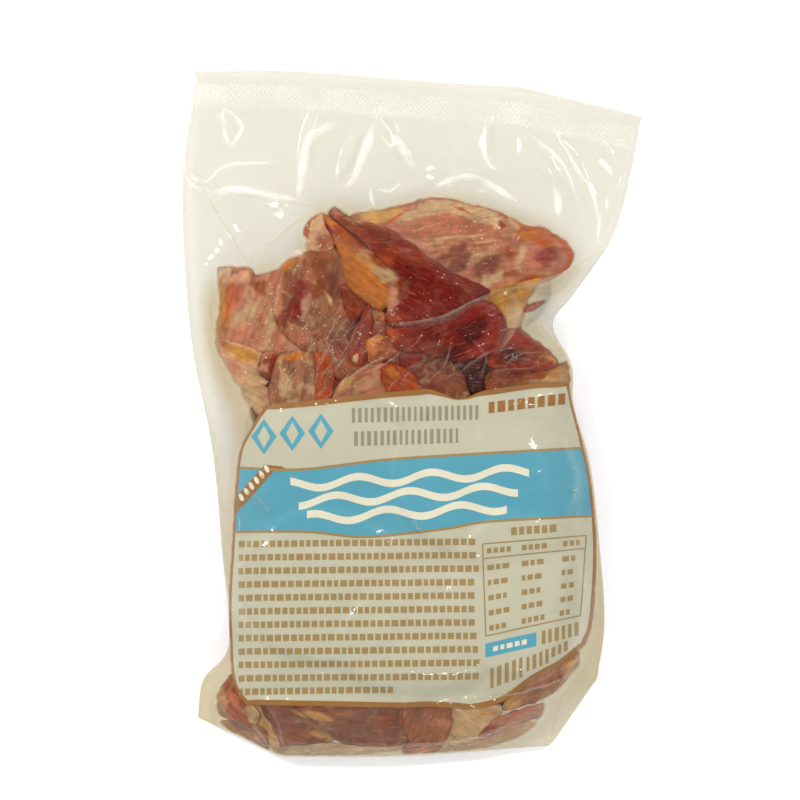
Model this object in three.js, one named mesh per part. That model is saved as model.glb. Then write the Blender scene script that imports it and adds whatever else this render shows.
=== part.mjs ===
// A clear vacuum bag of smoked ham and bacon offcuts, lying on its back with the label side up.
// Millimetres, +Z up, +Y towards the heat seal at the open end, +X to the right of someone who
// faces the label. The origin is on the table, under the middle of the bag.
//
// The bag is one closed solid. Its front film is stretched over the heap of offcuts and its back
// film is flattened by the table, and past the heap the two films lie on each other as far as the
// seams. Both films share one grid, so that they meet at the seams all the way round.

import * as THREE from "three";

// ---- Driving sizes ----

const COLUMNS = 42; // cells of the grid across the bag
const ROWS = 62; // cells of the grid along the bag
const CELL = 4; // size of one cell
const FILM_PAIR = 1.1; // the two films lying on each other, with the air left between them
const SEAM_EDGE = 0.8; // thickness of the welded edge

const HEAP_ROLL = 17; // how far in from the heap's rim its front is rounded
const FOOT_ROLL = 13; // how far in from the heap's rim its back is rounded
const LABEL_LEVEL = 25.5; // top of the heap under the label
const OPEN_END_LEVEL = 15; // top of the lowest offcuts, above the label
const CLOSED_END_LEVEL = 18; // top of the heap below the label
const LABEL_TOP_Y = 8; // where the label starts and ends
const LABEL_FOOT_Y = -103;
const LEVEL_BLEND = 16; // length over which one level passes into the next

const SUCTION = 0.12; // curvature that the vacuum gives the free film, per mm
const SETTLING = 900; // rounds of relaxing the films
const STIFFNESS = 2; // rounds of evening out what the film is too stiff to follow

// The seams, anticlockwise from the lower left corner: x, y and height over the table. The lower
// corners of the bag are folded in, so its foot has four corners.
const FOOT_SEAM = [
  [-77.3, -109.2, 5],
  [-48, -123.6, 3.5],
  [0, -123.3, 4],
  [49.9, -119.5, 3],
  [66.4, -95, 6],
];
const FOOT_CORNERS = [0, 1, 3, 4];
const RIGHT_SEAM = [
  [66.4, -95, 6],
  [68.9, -76, 8],
  [66.9, -45, 9.5],
  [63.5, -17, 10],
  [57.6, 4, 10.5],
  [57.2, 17, 10.5],
  [50.4, 32.5, 10],
  [57, 42, 9],
  [72, 64, 7],
  [78.8, 88, 4.5],
  [82.6, 107.4, 2.5],
];
const TOP_SEAM = [
  [-78.3, 123.6, 3],
  [-44, 123.4, 5.5],
  [9.9, 119.5, 4],
  [38.7, 117.4, 7.5],
  [82.6, 107.4, 2.5],
];
const TOP_CORNERS = [0, 3, 4];
const LEFT_SEAM = [
  [-77.3, -109.2, 5],
  [-75.1, -95.4, 7],
  [-66.6, -85, 8.5],
  [-68.4, -49, 9],
  [-72, -12, 8.5],
  [-78.8, 22, 7.5],
  [-82, 55, 6],
  [-82.6, 87, 5],
  [-78.3, 123.6, 3],
];

// Where the heap of offcuts ends, seen from above, anticlockwise.
const HEAP_OUTLINE = [
  [-71, -100],
  [-62, -114],
  [-46, -121],
  [-5, -121.5],
  [31, -118],
  [50, -101],
  [63, -84],
  [65, -60],
  [62, -25],
  [55, 5],
  [54, 15],
  [47, 30],
  [48, 38],
  [57.5, 50],
  [56, 56],
  [47, 63],
  [31, 72.5],
  [6, 78],
  [-17, 72.5],
  [-30, 74],
  [-39, 69],
  [-44, 56],
  [-58, 53],
  [-70, 51],
  [-70.5, 38],
  [-69, 25],
  [-67, 5],
  [-66, -25],
  [-65, -60],
  [-63, -85],
];

// The offcuts that shape the front of the bag: x, y, length, width, turn in degrees, top.
const OFFCUTS = [
  { name: "streaky slice", x: 21, y: 58, length: 82, width: 38, turn: -14, top: 16.5 },
  { name: "round end of that slice", x: 49, y: 53, length: 22, width: 22, turn: -30, top: 18 },
  { name: "marbled slice", x: -50, y: 34, length: 58, width: 40, turn: -58, top: 20 },
  { name: "smoked chunk", x: -1, y: 48, length: 92, width: 38, turn: -32, top: 26 },
  { name: "tip of the smoked chunk", x: -33, y: 66, length: 22, width: 18, turn: -50, top: 20.5 },
  { name: "dark chunk", x: 21, y: 25, length: 74, width: 34, turn: -8, top: 26 },
  { name: "curled end", x: -7, y: 23, length: 30, width: 24, turn: 30, top: 25 },
  { name: "rind strip", x: -33, y: 17, length: 40, width: 26, turn: 10, top: 22 },
  { name: "flat slice", x: -54, y: 14, length: 40, width: 30, turn: -12, top: 19 },
  { name: "left upper lump", x: -34, y: -15, length: 68, width: 50, turn: 10, top: 28 },
  { name: "right upper lump", x: 26, y: -30, length: 74, width: 62, turn: -14, top: 29.2 },
  { name: "left lower lump", x: -37, y: -62, length: 62, width: 56, turn: -8, top: 28.6 },
  { name: "middle lower lump", x: 5, y: -79, length: 66, width: 44, turn: 12, top: 29 },
  { name: "right lower lump", x: 42, y: -74, length: 46, width: 62, turn: 6, top: 29.5 },
  { name: "foot slice", x: -24, y: -107, length: 74, width: 30, turn: -2, top: 21 },
  { name: "foot strip", x: 28, y: -104, length: 58, width: 26, turn: 16, top: 19.5 },
  { name: "corner slice", x: -64, y: -103, length: 26, width: 20, turn: -60, top: 13 },
];
const OFFCUT_CREST = 0.4; // share of an offcut's half size that stays near its top height
const OFFCUT_EDGE = 1.1; // where its side has come down to what it lies on

// Folds that the film makes between what holds it up: from x, y, z to x, y, z.
const FOLDS = [
  [-38, 70, 19, -81, 88, 6],
  [-60, 53, 15, -38, 70, 18.5],
  [34, 45, 23, 66, 57, 9],
  [34, 45, 24, -6, 34, 26],
  [42, 38, 18, 56, 16, 12.5],
  [14, 76, 13, 27, 112, 7],
  [42, -103, 16, 64, -88, 9],
  [50, -100, 12, 50, -117, 4.5],
  [-50, -101, 18.5, -49, -121, 5],
];
const FOLD_SLOPE = 0.75; // how steeply the film falls away from a fold
const FOLD_REACH = 6; // half the width that a fold holds up

// Air pockets between the two films: x, y, length, width, turn in degrees, rise.
const POCKETS = [
  { x: -68, y: 107, length: 22, width: 12, turn: -70, rise: 1.4 },
  { x: -52, y: 92, length: 44, width: 22, turn: 8, rise: 1.7 },
  { x: -33, y: 96, length: 44, width: 15, turn: 78, rise: 2.1 },
  { x: -10, y: 96, length: 36, width: 16, turn: -62, rise: 2.3 },
  { x: 22, y: 92, length: 46, width: 20, turn: -10, rise: 1.9 },
  { x: 50, y: 84, length: 46, width: 17, turn: -62, rise: 1.8 },
  { x: 70, y: 84, length: 26, width: 12, turn: 72, rise: 1.3 },
];

// ---- Helpers ----

const clamp = (value, low, high) => Math.min(Math.max(value, low), high);

// 0 at or below `from`, 1 at or above `to`, and smooth between.
const ease = (value, from, to) => THREE.MathUtils.smoothstep(value, from, to);

// One side of the bag: smooth stretches between the corners at these indices.
function seam(points, corners = [0, points.length - 1]) {
  const path = new THREE.CurvePath();
  for (let k = 1; k < corners.length; k++) {
    const stretch = points.slice(corners[k - 1], corners[k] + 1);
    const places = stretch.map((point) => new THREE.Vector3(...point));
    path.add(new THREE.CatmullRomCurve3(places, false, "centripetal"));
  }
  return path;
}

// How far out a point lies in a turned ellipse: 0 at its middle and 1 on its edge. A squareness
// above 2 fills out the ellipse's corners.
function reachInEllipse(x, y, ellipse, squareness = 2) {
  const angle = THREE.MathUtils.degToRad(ellipse.turn);
  const [dx, dy] = [x - ellipse.x, y - ellipse.y];
  const along = (dx * Math.cos(angle) + dy * Math.sin(angle)) / (ellipse.length / 2);
  const across = (dy * Math.cos(angle) - dx * Math.sin(angle)) / (ellipse.width / 2);
  return (Math.abs(along) ** squareness + Math.abs(across) ** squareness) ** (1 / squareness);
}

// The distance to a stretch from a to b, and how far along it the nearest point is, from 0 to 1.
function toStretch(x, y, a, b) {
  const [dx, dy] = [b[0] - a[0], b[1] - a[1]];
  const share = clamp(((x - a[0]) * dx + (y - a[1]) * dy) / (dx * dx + dy * dy), 0, 1);
  return [Math.hypot(x - a[0] - share * dx, y - a[1] - share * dy), share];
}

// How far a point is inside a closed outline, or minus how far it is outside.
function depthInside(x, y, outline) {
  let nearest = Infinity;
  let inside = false;
  outline.forEach((a, k) => {
    const b = outline[(k + 1) % outline.length];
    nearest = Math.min(nearest, toStretch(x, y, a, b)[0]);
    const crosses = a[1] > y !== b[1] > y;
    if (crosses && x < a[0] + ((y - a[1]) / (b[1] - a[1])) * (b[0] - a[0])) inside = !inside;
  });
  return inside ? nearest : -nearest;
}

// A quarter round: 0 at a rim, 1 from `roll` inwards.
function quarterRound(depth, roll) {
  const toRim = 1 - clamp(depth / roll, 0, 1);
  return Math.sqrt(1 - toRim * toRim);
}

// ---- The heap ----

// The heap's general level at a place along the bag.
function levelAt(y) {
  const openEnd = ease(y, LABEL_TOP_Y - LEVEL_BLEND, LABEL_TOP_Y + LEVEL_BLEND / 2);
  const closedEnd = ease(-y, -LABEL_FOOT_Y - LEVEL_BLEND, -LABEL_FOOT_Y + LEVEL_BLEND / 2);
  const middle = 1 - openEnd - closedEnd;
  return LABEL_LEVEL * middle + OPEN_END_LEVEL * openEnd + CLOSED_END_LEVEL * closedEnd;
}

// The front of the heap: the offcuts stand out of its general level, and it is rounded down to the
// height of the seams at its rim.
function heapFront(x, y, seamHeight, depth) {
  const level = levelAt(y);
  let top = level;
  for (const offcut of OFFCUTS) {
    const reach = reachInEllipse(x, y, offcut, 3);
    top = Math.max(top, level + (offcut.top - level) * (1 - ease(reach, OFFCUT_CREST, OFFCUT_EDGE)));
  }
  return seamHeight + (top - seamHeight) * quarterRound(depth, HEAP_ROLL);
}

// The back of the heap: flat on the table, and rounded up to the height of the seams at its rim.
function heapBack(seamHeight, depth) {
  return seamHeight * (1 - quarterRound(depth, FOOT_ROLL));
}

// What the folds hold the film up to, or minus infinity away from them all.
function foldTop(x, y) {
  let top = -Infinity;
  for (const [ax, ay, az, bx, by, bz] of FOLDS) {
    const [distance, share] = toStretch(x, y, [ax, ay], [bx, by]);
    if (distance < FOLD_REACH) top = Math.max(top, az + (bz - az) * share - FOLD_SLOPE * distance);
  }
  return top;
}

// How far the air pockets lift the front film off the back film.
function pocketRise(x, y) {
  const rises = POCKETS.map((pocket) => pocket.rise * (1 - ease(reachInEllipse(x, y, pocket), 0, 1)));
  return Math.max(...rises);
}

// ---- The two films ----

// The grid of the bag in plan, with the height of the seams carried inwards, row by row. Each
// place is blended from the four sides, less the part that the corners give twice.
function planGrid() {
  const foot = seam(FOOT_SEAM, FOOT_CORNERS).getSpacedPoints(COLUMNS);
  const top = seam(TOP_SEAM, TOP_CORNERS).getSpacedPoints(COLUMNS);
  const left = seam(LEFT_SEAM).getSpacedPoints(ROWS);
  const right = seam(RIGHT_SEAM).getSpacedPoints(ROWS);
  const grid = [];
  for (let row = 0; row <= ROWS; row++) {
    for (let column = 0; column <= COLUMNS; column++) {
      const [u, v] = [column / COLUMNS, row / ROWS];
      const footToTop = foot[column].clone().lerp(top[column], v);
      const leftToRight = left[row].clone().lerp(right[row], u);
      const footCorners = left[0].clone().lerp(right[0], u);
      const topCorners = left[ROWS].clone().lerp(right[ROWS], u);
      grid.push(footToTop.add(leftToRight).sub(footCorners.lerp(topCorners, v)));
    }
  }
  return grid;
}

function isSeam(index) {
  const column = index % (COLUMNS + 1);
  const row = Math.floor(index / (COLUMNS + 1));
  return column === 0 || column === COLUMNS || row === 0 || row === ROWS;
}

// The mean height of a grid point's four neighbours.
function meanAround(heights, k) {
  const across = heights[k - 1] + heights[k + 1];
  const along = heights[k - COLUMNS - 1] + heights[k + COLUMNS + 1];
  return (across + along) / 4;
}

// Lets a film settle between the points that are held. Each other point comes to lie a little
// below its neighbours' mean, but never below `support`.
function settle(heights, held, support, dip) {
  for (let round = 0; round < SETTLING; round++) {
    for (let k = 0; k < heights.length; k++) {
      if (!held[k]) heights[k] = Math.max(support[k], meanAround(heights, k) - dip);
    }
  }
}

// Evens out a film between the points that are held.
function stiffen(heights, held) {
  for (let round = 0; round < STIFFNESS; round++) {
    const before = heights.slice();
    for (let k = 0; k < heights.length; k++) {
      if (!held[k]) heights[k] = (before[k] + meanAround(before, k)) / 2;
    }
  }
}

// The heights of both films over the grid.
function filmHeights(grid) {
  const seams = grid.map((_, k) => isSeam(k));
  const depth = grid.map(({ x, y }) => depthInside(x, y, HEAP_OUTLINE));

  const aroundHeap = depth.map((inside, k) => !seams[k] && inside <= 0);
  const back = grid.map(({ z }, k) => {
    return seams[k] || aroundHeap[k] ? z - SEAM_EDGE / 2 : heapBack(z, depth[k]);
  });
  settle(back, aroundHeap.map((free) => !free), back.map(() => 0), 0);
  stiffen(back, depth.map((inside, k) => seams[k] || inside > FOOT_ROLL));

  const support = grid.map(({ x, y, z }, k) => {
    const pair = back[k] + FILM_PAIR + pocketRise(x, y);
    const heap = depth[k] > 0 ? heapFront(x, y, z, depth[k]) : -Infinity;
    return Math.max(pair, heap, foldTop(x, y));
  });
  const front = grid.map(({ z }, k) => (seams[k] ? z + SEAM_EDGE / 2 : support[k]));
  settle(front, seams, support, (SUCTION * CELL * CELL) / 4);
  stiffen(front, seams);
  return { front, back };
}

// A box with the grid's cells on its top and its underside, moved onto the two films.
function bagGeometry() {
  const grid = planGrid();
  const { front, back } = filmHeights(grid);
  const geometry = new THREE.BoxGeometry(1, 1, 1, COLUMNS, ROWS, 1);
  const position = geometry.getAttribute("position");
  for (let k = 0; k < position.count; k++) {
    const column = Math.round((position.getX(k) + 0.5) * COLUMNS);
    const row = Math.round((position.getY(k) + 0.5) * ROWS);
    const index = row * (COLUMNS + 1) + column;
    const film = position.getZ(k) > 0 ? front : back;
    position.setXYZ(k, grid[index].x, grid[index].y, film[index]);
  }
  geometry.computeVertexNormals();
  return geometry;
}

// ---- The part ----

const film = new THREE.MeshStandardMaterial({
  name: "film",
  color: 0xd9c3a6,
  roughness: 0.2,
  metalness: 0,
});

const bag = new THREE.Mesh(bagGeometry(), film);
bag.name = "bag";

const part = new THREE.Group();
part.name = "bag of ham offcuts";
part.add(bag);

export default part;
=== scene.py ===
"""A clear vacuum bag of smoked ham and bacon offcuts, seen from above on a white table.

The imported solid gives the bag's outline and its large form. Offcuts are laid on a core, each one
draped over what lies under it. The front film is then stretched over the offcuts, the back film is
flattened by the table, and the label is printed on the inside of the front film. Lengths are in
millimetres up to the point where a mesh is made.
"""

import math

import bmesh
import bpy
import numpy as np
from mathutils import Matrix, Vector
from mathutils.bvhtree import BVHTree


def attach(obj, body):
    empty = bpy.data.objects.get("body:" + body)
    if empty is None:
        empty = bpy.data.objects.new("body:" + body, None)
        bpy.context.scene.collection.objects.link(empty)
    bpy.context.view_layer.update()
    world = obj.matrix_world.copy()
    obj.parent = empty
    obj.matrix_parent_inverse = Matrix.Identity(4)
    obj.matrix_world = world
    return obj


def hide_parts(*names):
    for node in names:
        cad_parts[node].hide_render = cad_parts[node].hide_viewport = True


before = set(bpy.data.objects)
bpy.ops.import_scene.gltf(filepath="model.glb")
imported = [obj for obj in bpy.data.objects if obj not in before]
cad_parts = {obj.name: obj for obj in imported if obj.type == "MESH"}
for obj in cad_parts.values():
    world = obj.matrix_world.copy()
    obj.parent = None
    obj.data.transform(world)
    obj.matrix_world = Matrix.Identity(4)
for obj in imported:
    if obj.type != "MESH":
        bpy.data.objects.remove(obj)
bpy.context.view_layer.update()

MM = 0.001
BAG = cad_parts["bag"]
BODY = "root"

# ---- The raster that heights are worked out on ----

CELL = 0.5
HALF_WIDTH = 86  # of the raster: it reaches a little past the bag
HALF_LENGTH = 128
PROBE = 4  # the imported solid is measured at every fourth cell
COLUMNS = int(2 * HALF_WIDTH / CELL) + 1
ROWS = int(2 * HALF_LENGTH / CELL) + 1
RASTER_X, RASTER_Y = np.meshgrid(
    np.linspace(-HALF_WIDTH, HALF_WIDTH, COLUMNS), np.linspace(-HALF_LENGTH, HALF_LENGTH, ROWS)
)

# ---- The camera, as in the photo: straight above the bag ----

EYE_PLACE = np.array([-4.5, 5.0])
EYE_LEVEL = 1200
SEAM_LEVEL = 5  # height of the seams, which the frame is measured at

# ---- Gaps between layers ----

FILM_GAP = 0.42  # from the offcuts to the film
INK_DEPTH = 0.08  # from the film's face to the inks
GROUND_DEPTH = 0.15  # from the film's face to the label's ground
PAIR_GAP = 0.5  # between the two films where the bag is empty
LEAST_GAP = 0.3  # between the two films anywhere
TABLE_GAP = 0.02  # from the back film to the table


# ---- Number helpers ----

def ease(value, low, high):
    """0 at or below low, 1 at or above high, and smooth between. Low may be the larger one."""
    share = np.clip((value - low) / (high - low), 0, 1)
    return share * share * (3 - 2 * share)


def blur(field, sigma):
    """A raster evened out over about sigma millimetres."""
    rows, columns = field.shape
    fy = np.fft.fftfreq(rows, CELL)[:, None]
    fx = np.fft.rfftfreq(columns, CELL)[None, :]
    keep = np.exp(-2 * (math.pi * sigma) ** 2 * (fx**2 + fy**2))
    return np.fft.irfft2(np.fft.rfft2(field) * keep, field.shape)


NOISE_CELLS = 256


def bilinear(grid, i, j, next_i, next_j, t, s):
    """Values a share t of the way between two rows and a share s between two columns."""
    near = grid[i, j] * (1 - s) + grid[i, next_j] * s
    far = grid[next_i, j] * (1 - s) + grid[next_i, next_j] * s
    return near * (1 - t) + far * t


def sample(field, x, y):
    """A raster's value at any places, linear between its cells."""
    column = np.clip((x + HALF_WIDTH) / CELL, 0, COLUMNS - 1.001)
    row = np.clip((y + HALF_LENGTH) / CELL, 0, ROWS - 1.001)
    i, j = row.astype(int), column.astype(int)
    return bilinear(field, i, j, i + 1, j + 1, row - i, column - j)


def refine(grid, times):
    """A grid with each of its cells cut into times by times."""
    rows, columns = (np.linspace(0, count - 1, times * (count - 1) + 1) for count in grid.shape)
    rows, columns = rows[:, None], columns[None, :]
    i = np.minimum(rows.astype(int), grid.shape[0] - 2)
    j = np.minimum(columns.astype(int), grid.shape[1] - 2)
    return bilinear(grid, i, j, i + 1, j + 1, rows - i, columns - j)


def noise(x, y, size, seed):
    """Smooth noise from -1 to 1, with lumps about size millimetres apart."""
    table = np.random.RandomState(seed).uniform(-1, 1, (NOISE_CELLS, NOISE_CELLS))
    x, y = x / size + 1000, y / size + 1000
    i, j = np.floor(y).astype(int), np.floor(x).astype(int)
    t, s = (u * u * u * (u * (6 * u - 15) + 10) for u in (y - i, x - j))
    rows, columns = (i % NOISE_CELLS, (i + 1) % NOISE_CELLS), (j % NOISE_CELLS, (j + 1) % NOISE_CELLS)
    return bilinear(table, rows[0], columns[0], rows[1], columns[1], t, s)


def rough_noise(x, y, size, seed, octaves=3):
    """Noise with finer and finer noise on it."""
    total = sum(noise(x, y, size / 2**k, seed + 17 * k) / 2**k for k in range(octaves))
    return total / 1.6


LINE_CUTS = 24  # places on a smooth line between two of its points


def smooth_line(points, count):
    """Count places, evenly spaced, on a smooth line through the points."""
    points = np.array(points, float)
    ends = np.vstack([2 * points[0] - points[1], points, 2 * points[-1] - points[-2]])
    t = np.linspace(0, 1, LINE_CUTS, endpoint=False)[:, None]
    runs = []
    for a, b, c, d in zip(ends, ends[1:], ends[2:], ends[3:]):
        square = 2 * a - 5 * b + 4 * c - d
        cube = 3 * b - a - 3 * c + d
        runs.append(0.5 * (2 * b + (c - a) * t + square * t**2 + cube * t**3))
    return spaced(np.vstack(runs + [points[-1:]]), count)


def spaced(line, count):
    """Count places, evenly spaced, on a polyline."""
    steps = np.hypot(*np.diff(line[:, :2], axis=0).T)
    along = np.concatenate([[0], np.cumsum(steps)])
    places = np.linspace(0, along[-1], count)
    return np.stack([np.interp(places, along, axis) for axis in line.T], axis=1)


def coons(foot, top, left, right):
    """A grid of places blended from four sides that meet at the corners."""
    u = np.linspace(0, 1, len(foot))[None, :, None]
    v = np.linspace(0, 1, len(left))[:, None, None]
    across = foot[None] * (1 - v) + top[None] * v
    along = left[:, None] * (1 - u) + right[:, None] * u
    corners = (left[0] * (1 - u) + right[0] * u) * (1 - v) + (left[-1] * (1 - u) + right[-1] * u) * v
    return across + along - corners


def rounded(u, v):
    """A square's places, from -1 to 1, drawn in to a disc of radius 1."""
    return u * np.sqrt(1 - v**2 / 2), v * np.sqrt(1 - u**2 / 2)


def turned(x, y, turn):
    """Offsets as measured along a direction in degrees, and across it."""
    angle = math.radians(turn)
    return x * math.cos(angle) + y * math.sin(angle), y * math.cos(angle) - x * math.sin(angle)


def neighbours(padded):
    """What lies on the four sides of each cell of a raster that was padded by one."""
    return padded[:-2, 1:-1], padded[2:, 1:-1], padded[1:-1, :-2], padded[1:-1, 2:]


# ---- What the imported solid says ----

def probe(direction):
    """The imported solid's height seen from above (-1) or from below (1), as a raster."""
    tree = BVHTree.FromPolygons(
        [v.co for v in BAG.data.vertices], [p.vertices for p in BAG.data.polygons]
    )
    heights = np.full(RASTER_X[::PROBE, ::PROBE].shape, np.nan)
    for place in np.ndindex(heights.shape):
        x, y = RASTER_X[::PROBE, ::PROBE][place], RASTER_Y[::PROBE, ::PROBE][place]
        start = Vector((x * MM, y * MM, -direction))
        found = tree.ray_cast(start, Vector((0, 0, direction)))[0]
        if found is not None:
            heights[place] = found.z / MM
    return refine(spread(heights), PROBE)


def spread(heights):
    """Fills the empty cells of a raster outwards from the filled ones."""
    heights = heights.copy()
    while np.isnan(heights).any():
        around = np.array(neighbours(np.pad(heights, 1, constant_values=np.nan)))
        filled = ~np.isnan(around)
        mean = np.where(filled, around, 0).sum(0) / np.maximum(filled.sum(0), 1)
        heights = np.where(np.isnan(heights) & filled.any(0), mean, heights)
    return heights


def rim_loop():
    """The welded edge of the bag, in order, at the middle of its thickness. The solid's only
    upright faces are there."""
    points, links = {}, {}
    for face in BAG.data.polygons:
        if abs(face.normal.z) > 0.01:
            continue
        keys = set()
        for index in face.vertices:
            place = BAG.data.vertices[index].co / MM
            key = (round(place.x, 2), round(place.y, 2))
            points.setdefault(key, set()).add(round(place.z, 3))
            keys.add(key)
        for key in keys:
            links.setdefault(key, set()).update(keys - {key})
    loop = [min(points)]
    while True:
        onward = [key for key in sorted(links[loop[-1]]) if key not in loop[-2:]]
        if not onward or onward[0] == loop[0]:
            break
        loop.append(onward[0])
    return np.array([(x, y, np.mean(list(points[x, y]))) for x, y in loop])


def side_between(loop, start, end, count):
    """The stretch of the rim from one corner to another, whichever way round is shorter."""
    ring = len(loop)
    forward = (end - start) % ring
    step = 1 if forward <= ring / 2 else -1
    length = min(forward, ring - forward)
    return smooth_line([loop[(start + step * k) % ring] for k in range(length + 1)], count)


def inside(x, y, loop):
    """Whether places are inside a closed loop."""
    found = np.zeros(x.shape, bool)
    for a, b in zip(loop, np.roll(loop, -1, axis=0)):
        crosses = (a[1] > y) != (b[1] > y)
        slope = (b[0] - a[0]) / (b[1] - a[1]) if b[1] != a[1] else 0
        found ^= crosses & (x < a[0] + slope * (y - a[1]))
    return found


def distance_to(x, y, loop):
    """How far places are from a closed loop."""
    nearest = np.full(x.shape, np.inf)
    for a, b in zip(loop, np.roll(loop, -1, axis=0)):
        run = b - a
        share = np.clip(((x - a[0]) * run[0] + (y - a[1]) * run[1]) / (run @ run), 0, 1)
        nearest = np.minimum(nearest, np.hypot(x - a[0] - share * run[0], y - a[1] - share * run[1]))
    return nearest


rim = rim_loop()
corner_ids = {
    "foot_left": int(np.argmin(rim[:, 0] + rim[:, 1])),
    "foot_right": int(np.argmax(rim[:, 0] - rim[:, 1])),
    "top_left": int(np.argmin(rim[:, 0] - rim[:, 1])),
    "top_right": int(np.argmax(rim[:, 0] + rim[:, 1])),
}
cad_front = blur(probe(-1), 1.2)
cad_back = blur(probe(1), 1.2)
in_bag = inside(RASTER_X, RASTER_Y, rim)
depth = cad_front - cad_back
in_heap = ease(depth, 4.5, 7)
room = blur(in_bag.astype(float), 0.4)  # 1 where there is room for meat


def bag_grid(columns, rows):
    """The bag in plan as a grid of places, with the height of the seams carried inwards."""
    foot = side_between(rim, corner_ids["foot_left"], corner_ids["foot_right"], columns)
    top = side_between(rim, corner_ids["top_left"], corner_ids["top_right"], columns)
    left = side_between(rim, corner_ids["foot_left"], corner_ids["top_left"], rows)
    right = side_between(rim, corner_ids["foot_right"], corner_ids["top_right"], rows)
    return coons(foot, top, left, right)


# ---- Meshes ----

def new_mesh(name, points, faces, colours=None, values=None):
    """An object of quads or triangles from points in millimetres, with colours and named values
    at its points."""
    mesh = bpy.data.meshes.new(name)
    mesh.vertices.add(len(points))
    mesh.vertices.foreach_set("co", (np.asarray(points) * MM).astype(np.float32).ravel())
    faces = np.asarray(faces, np.int32)
    size = faces.shape[1]
    mesh.loops.add(faces.size)
    mesh.loops.foreach_set("vertex_index", faces.ravel())
    mesh.polygons.add(len(faces))
    mesh.polygons.foreach_set("loop_start", np.arange(len(faces), dtype=np.int32) * size)
    mesh.update(calc_edges=True)
    mesh.validate()
    mesh.shade_smooth()
    if colours is not None:
        attribute = mesh.attributes.new("meat", "FLOAT_COLOR", "POINT")
        rgba = np.hstack([colours, np.ones((len(colours), 1))])
        attribute.data.foreach_set("color", rgba.astype(np.float32).ravel())
    for key, value in (values or {}).items():
        value = np.asarray(value, np.float32)
        kind, field = ("FLOAT_VECTOR", "vector") if value.ndim == 2 else ("FLOAT", "value")
        attribute = mesh.attributes.new(key, kind, "POINT")
        attribute.data.foreach_set(field, value.ravel())
    made = bpy.data.objects.new(name, mesh)
    bpy.context.scene.collection.objects.link(made)
    return made


def grid_faces(index):
    """The quads of a grid of point numbers, facing up where columns go right and rows go away."""
    corners = [index[:-1, :-1], index[:-1, 1:], index[1:, 1:], index[1:, :-1]]
    return np.stack([c.ravel() for c in corners], axis=1)


def sheet_faces(shape, first=0):
    """The quads of a grid whose points are numbered row by row from the first."""
    return grid_faces(first + np.arange(shape[0] * shape[1]).reshape(shape))


def listed(*axes):
    """Grids of coordinates as one list of points."""
    return np.stack(axes, -1).reshape(-1, len(axes))


def add_piece(made, material, slot, *replaced):
    """Gives a piece its material and its place in the frame."""
    made.data.materials.append(material)
    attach(made, BODY)
    if replaced:
        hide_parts(*replaced)
    return made


# ---- Colours ----

def srgb(*rgb):
    """A colour given as 0 to 255, in linear light."""
    c = np.array(rgb) / 255
    return np.where(c <= 0.04045, c / 12.92, ((c + 0.055) / 1.055) ** 2.4)


DARK = srgb(124, 29, 18)
CRIMSON = srgb(132, 36, 28)
RED = srgb(140, 54, 40)
RUST = srgb(146, 62, 34)
SMOKE = srgb(128, 52, 26)
ORANGE = srgb(166, 80, 40)
AMBER = srgb(192, 122, 56)
YELLOW = srgb(190, 140, 66)
STRAW = srgb(197, 160, 98)
SAND = srgb(188, 146, 96)
CLAY = srgb(150, 84, 52)
BROWN = srgb(138, 80, 62)
TAUPE = srgb(146, 90, 68)
GREY = srgb(152, 106, 84)
RIND = srgb(184, 96, 44)
MAUVE = srgb(126, 68, 54)
PLUM = srgb(82, 20, 18)
PURPLE = srgb(70, 12, 10)
ROSE = srgb(177, 118, 97)
PINK = srgb(192, 142, 118)
CORAL = srgb(194, 122, 96)
BLUSH = srgb(210, 166, 138)
CREAM = srgb(206, 180, 150)
FAT = srgb(189, 160, 127)

# ---- Offcuts ----
# Each one has a name, a thickness, the direction of its fibres in degrees, its lean colour, the
# share of fat in the lean (marble) and of long fat lines (streak), and its outline in the bag as
# the camera sees it. Patches of other colours have a middle, half length, half width and turn.
# Rims of another colour run from one direction to another, as seen from the offcut's middle, and
# have a width.


def slab(name, x, y, length, width, turn, lean, **rest):
    """A plain oval offcut, for places that the label or the back hides."""
    along = np.array([math.cos(math.radians(turn)), math.sin(math.radians(turn))]) * length / 2
    across = np.array([-along[1], along[0]]) * width / length
    angles = np.linspace(0, 2 * math.pi, 12, endpoint=False)
    outline = [tuple(np.array([x, y]) + along * math.cos(a) + across * math.sin(a)) for a in angles]
    return dict(name=name, thick=5, turn=turn, lean=lean, outline=outline, step=1.5, **rest)


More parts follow.
